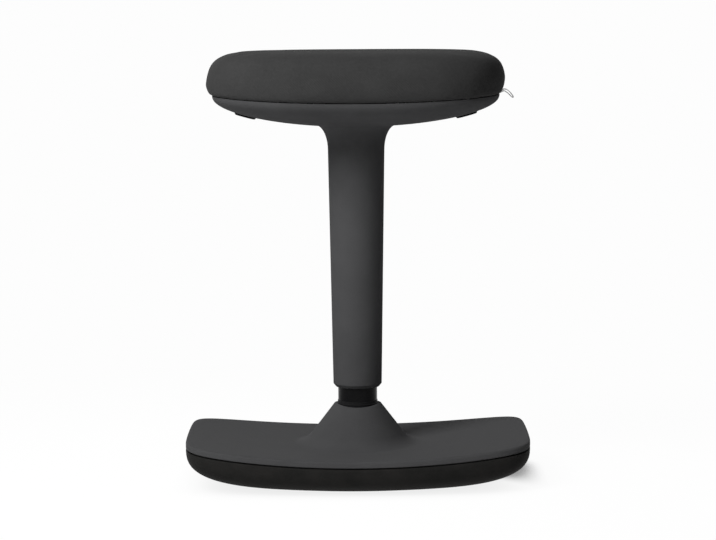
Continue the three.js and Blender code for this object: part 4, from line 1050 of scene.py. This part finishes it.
WHITE = "#ffffff"
BACKDROP = "#fdfdfd"
FLOOR_TONE = "#3c3c3c"
FLOOR_SIZE = 60
# The floor's glow and the glow left in its painted shadow, how far that painted shadow reaches and how soft
# it is
FLOOR_GLOW, SHADOW_GLOW = 0.97, 0.3
SHADOW_REACH = 45 * MM
SHADOW_SOFTNESS = 2.2
# The side away from the light, where on it the painted shadow deepens, and how deep it is before and after
AWAY = (0.79, 0.61, 0)
DEEPENS = (0.12, 0.23)
DEPTHS = (0.22, 8)
FLOOR_FADES = (0.45, 1.0)
WORLD_LEVEL = 0.03


def camera():
    """The photo's viewpoint: straight in front, 6 degrees above level and turned by a third of one"""
    distance = 3.4
    elevation = 0.107
    aim = Vector((1.4 * MM, 0, 268 * MM))
    roll = 0.0063
    data = bpy.data.cameras.new("camera")
    data.sensor_width = 36
    data.lens = 133.66
    data.clip_end = 100
    view = bpy.data.objects.new("camera", data)
    bpy.context.scene.collection.objects.link(view)
    back = Vector((0, -math.cos(elevation), math.sin(elevation)))
    view.location = aim + back * distance
    facing = (aim - view.location).to_track_quat("-Z", "Y")
    view.rotation_euler = facing.to_euler()
    view.rotation_euler.rotate_axis("Z", -roll)
    bpy.context.scene.camera = view


def lamp(name, place, target, size, power):
    data = bpy.data.lights.new(name, "AREA")
    data.shape = "SQUARE"
    data.size = size
    data.energy = power
    made = bpy.data.objects.new(name, data)
    made.location = place
    made.rotation_euler = (Vector(target) - Vector(place)).to_track_quat("-Z", "Y").to_euler()
    bpy.context.scene.collection.objects.link(made)


def seen_ray(tree):
    """1 for a ray that is seen, straight, in a gloss or through a clear piece, and 0 for one that lights"""
    path = node(tree, "ShaderNodeLightPath")
    seen = node(tree, "ShaderNodeMath", {0: path["Is Camera Ray"], 1: path["Is Glossy Ray"]},
                operation="MAXIMUM")[0]
    return node(tree, "ShaderNodeMath", {0: seen, 1: path["Is Transmission Ray"]}, operation="MAXIMUM")[0]


def studio_floor():
    """A pale floor that runs out into the white background. Near the base its glow is dimmed into a painted
    shadow, over the faint shadow that the lamps cast on its dark tone
    """
    deselect()
    bpy.ops.mesh.primitive_plane_add(size=FLOOR_SIZE)
    floor = bpy.context.object
    floor.name = "floor"
    made = bpy.data.materials.new("painted_floor")
    made.use_nodes = True
    tree = made.node_tree
    tree.nodes.clear()
    seen = seen_ray(tree)
    # It throws light up as a white floor does. Where it is seen it is dark, with a glow laid over it
    colour = node(tree, "ShaderNodeMix", {
        0: seen, 6: linear(WHITE), 7: linear(FLOOR_TONE)}, data_type="RGBA")[2]
    matt = node(tree, "ShaderNodeBsdfDiffuse", {"Color": colour})[0]
    # A painted shadow: the glow is dimmed where the base hides the floor, and most on the side away from the
    # light
    place = node(tree, "ShaderNodeTexCoord")["Object"]
    away = node(tree, "ShaderNodeVectorMath", {0: place, 1: AWAY}, operation="DOT_PRODUCT")["Value"]
    depth = node(tree, "ShaderNodeMapRange", {
        "Value": away, "From Min": DEEPENS[0], "From Max": DEEPENS[1],
        "To Min": DEPTHS[0], "To Max": DEPTHS[1]}, interpolation_type="SMOOTHSTEP")["Result"]
    open_share = node(tree, "ShaderNodeAmbientOcclusion", {"Distance": SHADOW_REACH}, samples=16)["AO"]
    hidden = node(tree, "ShaderNodeMath", {0: 1.0, 1: open_share}, operation="SUBTRACT")[0]
    hidden = node(tree, "ShaderNodeMath", {0: hidden, 1: SHADOW_SOFTNESS}, operation="POWER")[0]
    shadow = node(tree, "ShaderNodeMath", {0: hidden, 1: depth}, operation="MULTIPLY")[0]
    lift = node(tree, "ShaderNodeMapRange", {
        "Value": shadow, "To Min": FLOOR_GLOW, "To Max": SHADOW_GLOW})["Result"]
    glow = node(tree, "ShaderNodeMath", {0: lift, 1: seen}, operation="MULTIPLY")[0]
    shine = node(tree, "ShaderNodeEmission", {"Color": linear(WHITE), "Strength": glow})[0]
    near = node(tree, "ShaderNodeAddShader", {0: matt, 1: shine})[0]
    white = node(tree, "ShaderNodeEmission", {"Color": linear(BACKDROP), "Strength": 1.0})[0]
    reach = node(tree, "ShaderNodeVectorMath", {0: place}, operation="LENGTH")["Value"]
    far = node(tree, "ShaderNodeMapRange", {
        "Value": reach, "From Min": FLOOR_FADES[0], "From Max": FLOOR_FADES[1]})["Result"]
    blend = node(tree, "ShaderNodeMath", {0: far, 1: seen}, operation="MULTIPLY")[0]
    mixed = node(tree, "ShaderNodeMixShader", {0: blend, 1: near, 2: white})[0]
    node(tree, "ShaderNodeOutputMaterial", {"Surface": mixed})
    floor.data.materials.append(made)


def studio_world():
    """White where it is seen, dim where it lights"""
    world = bpy.data.worlds.new("studio")
    bpy.context.scene.world = world
    world.use_nodes = True
    tree = world.node_tree
    tree.nodes.clear()
    white = node(tree, "ShaderNodeBackground", {"Color": linear(BACKDROP), "Strength": 1.0})[0]
    dim = node(tree, "ShaderNodeBackground", {"Color": linear(WHITE), "Strength": WORLD_LEVEL})[0]
    mixed = node(tree, "ShaderNodeMixShader", {0: seen_ray(tree), 1: dim, 2: white})[0]
    node(tree, "ShaderNodeOutputWorld", {"Surface": mixed})


def studio():
    studio_floor()
    studio_world()
    middle = (0, 0, 0.3)
    lamp("key", place=(-1.17, -1.39, 1.72), target=middle, size=1, power=49)
    lamp("rear", place=(-0.9, 1.2, 1.9), target=middle, size=1.6, power=5)
    bpy.context.scene.view_settings.view_transform = "Standard"


camera()
finish_cad_nodes()
rocker_sole()
base_cover()
hub_wiper()
lift_tube()
seat_shell()
for middle, hand in paddle_places():
    paddle(middle, hand)
cushion()
pull_tab()
base_screws()
shell_screws()
studio()
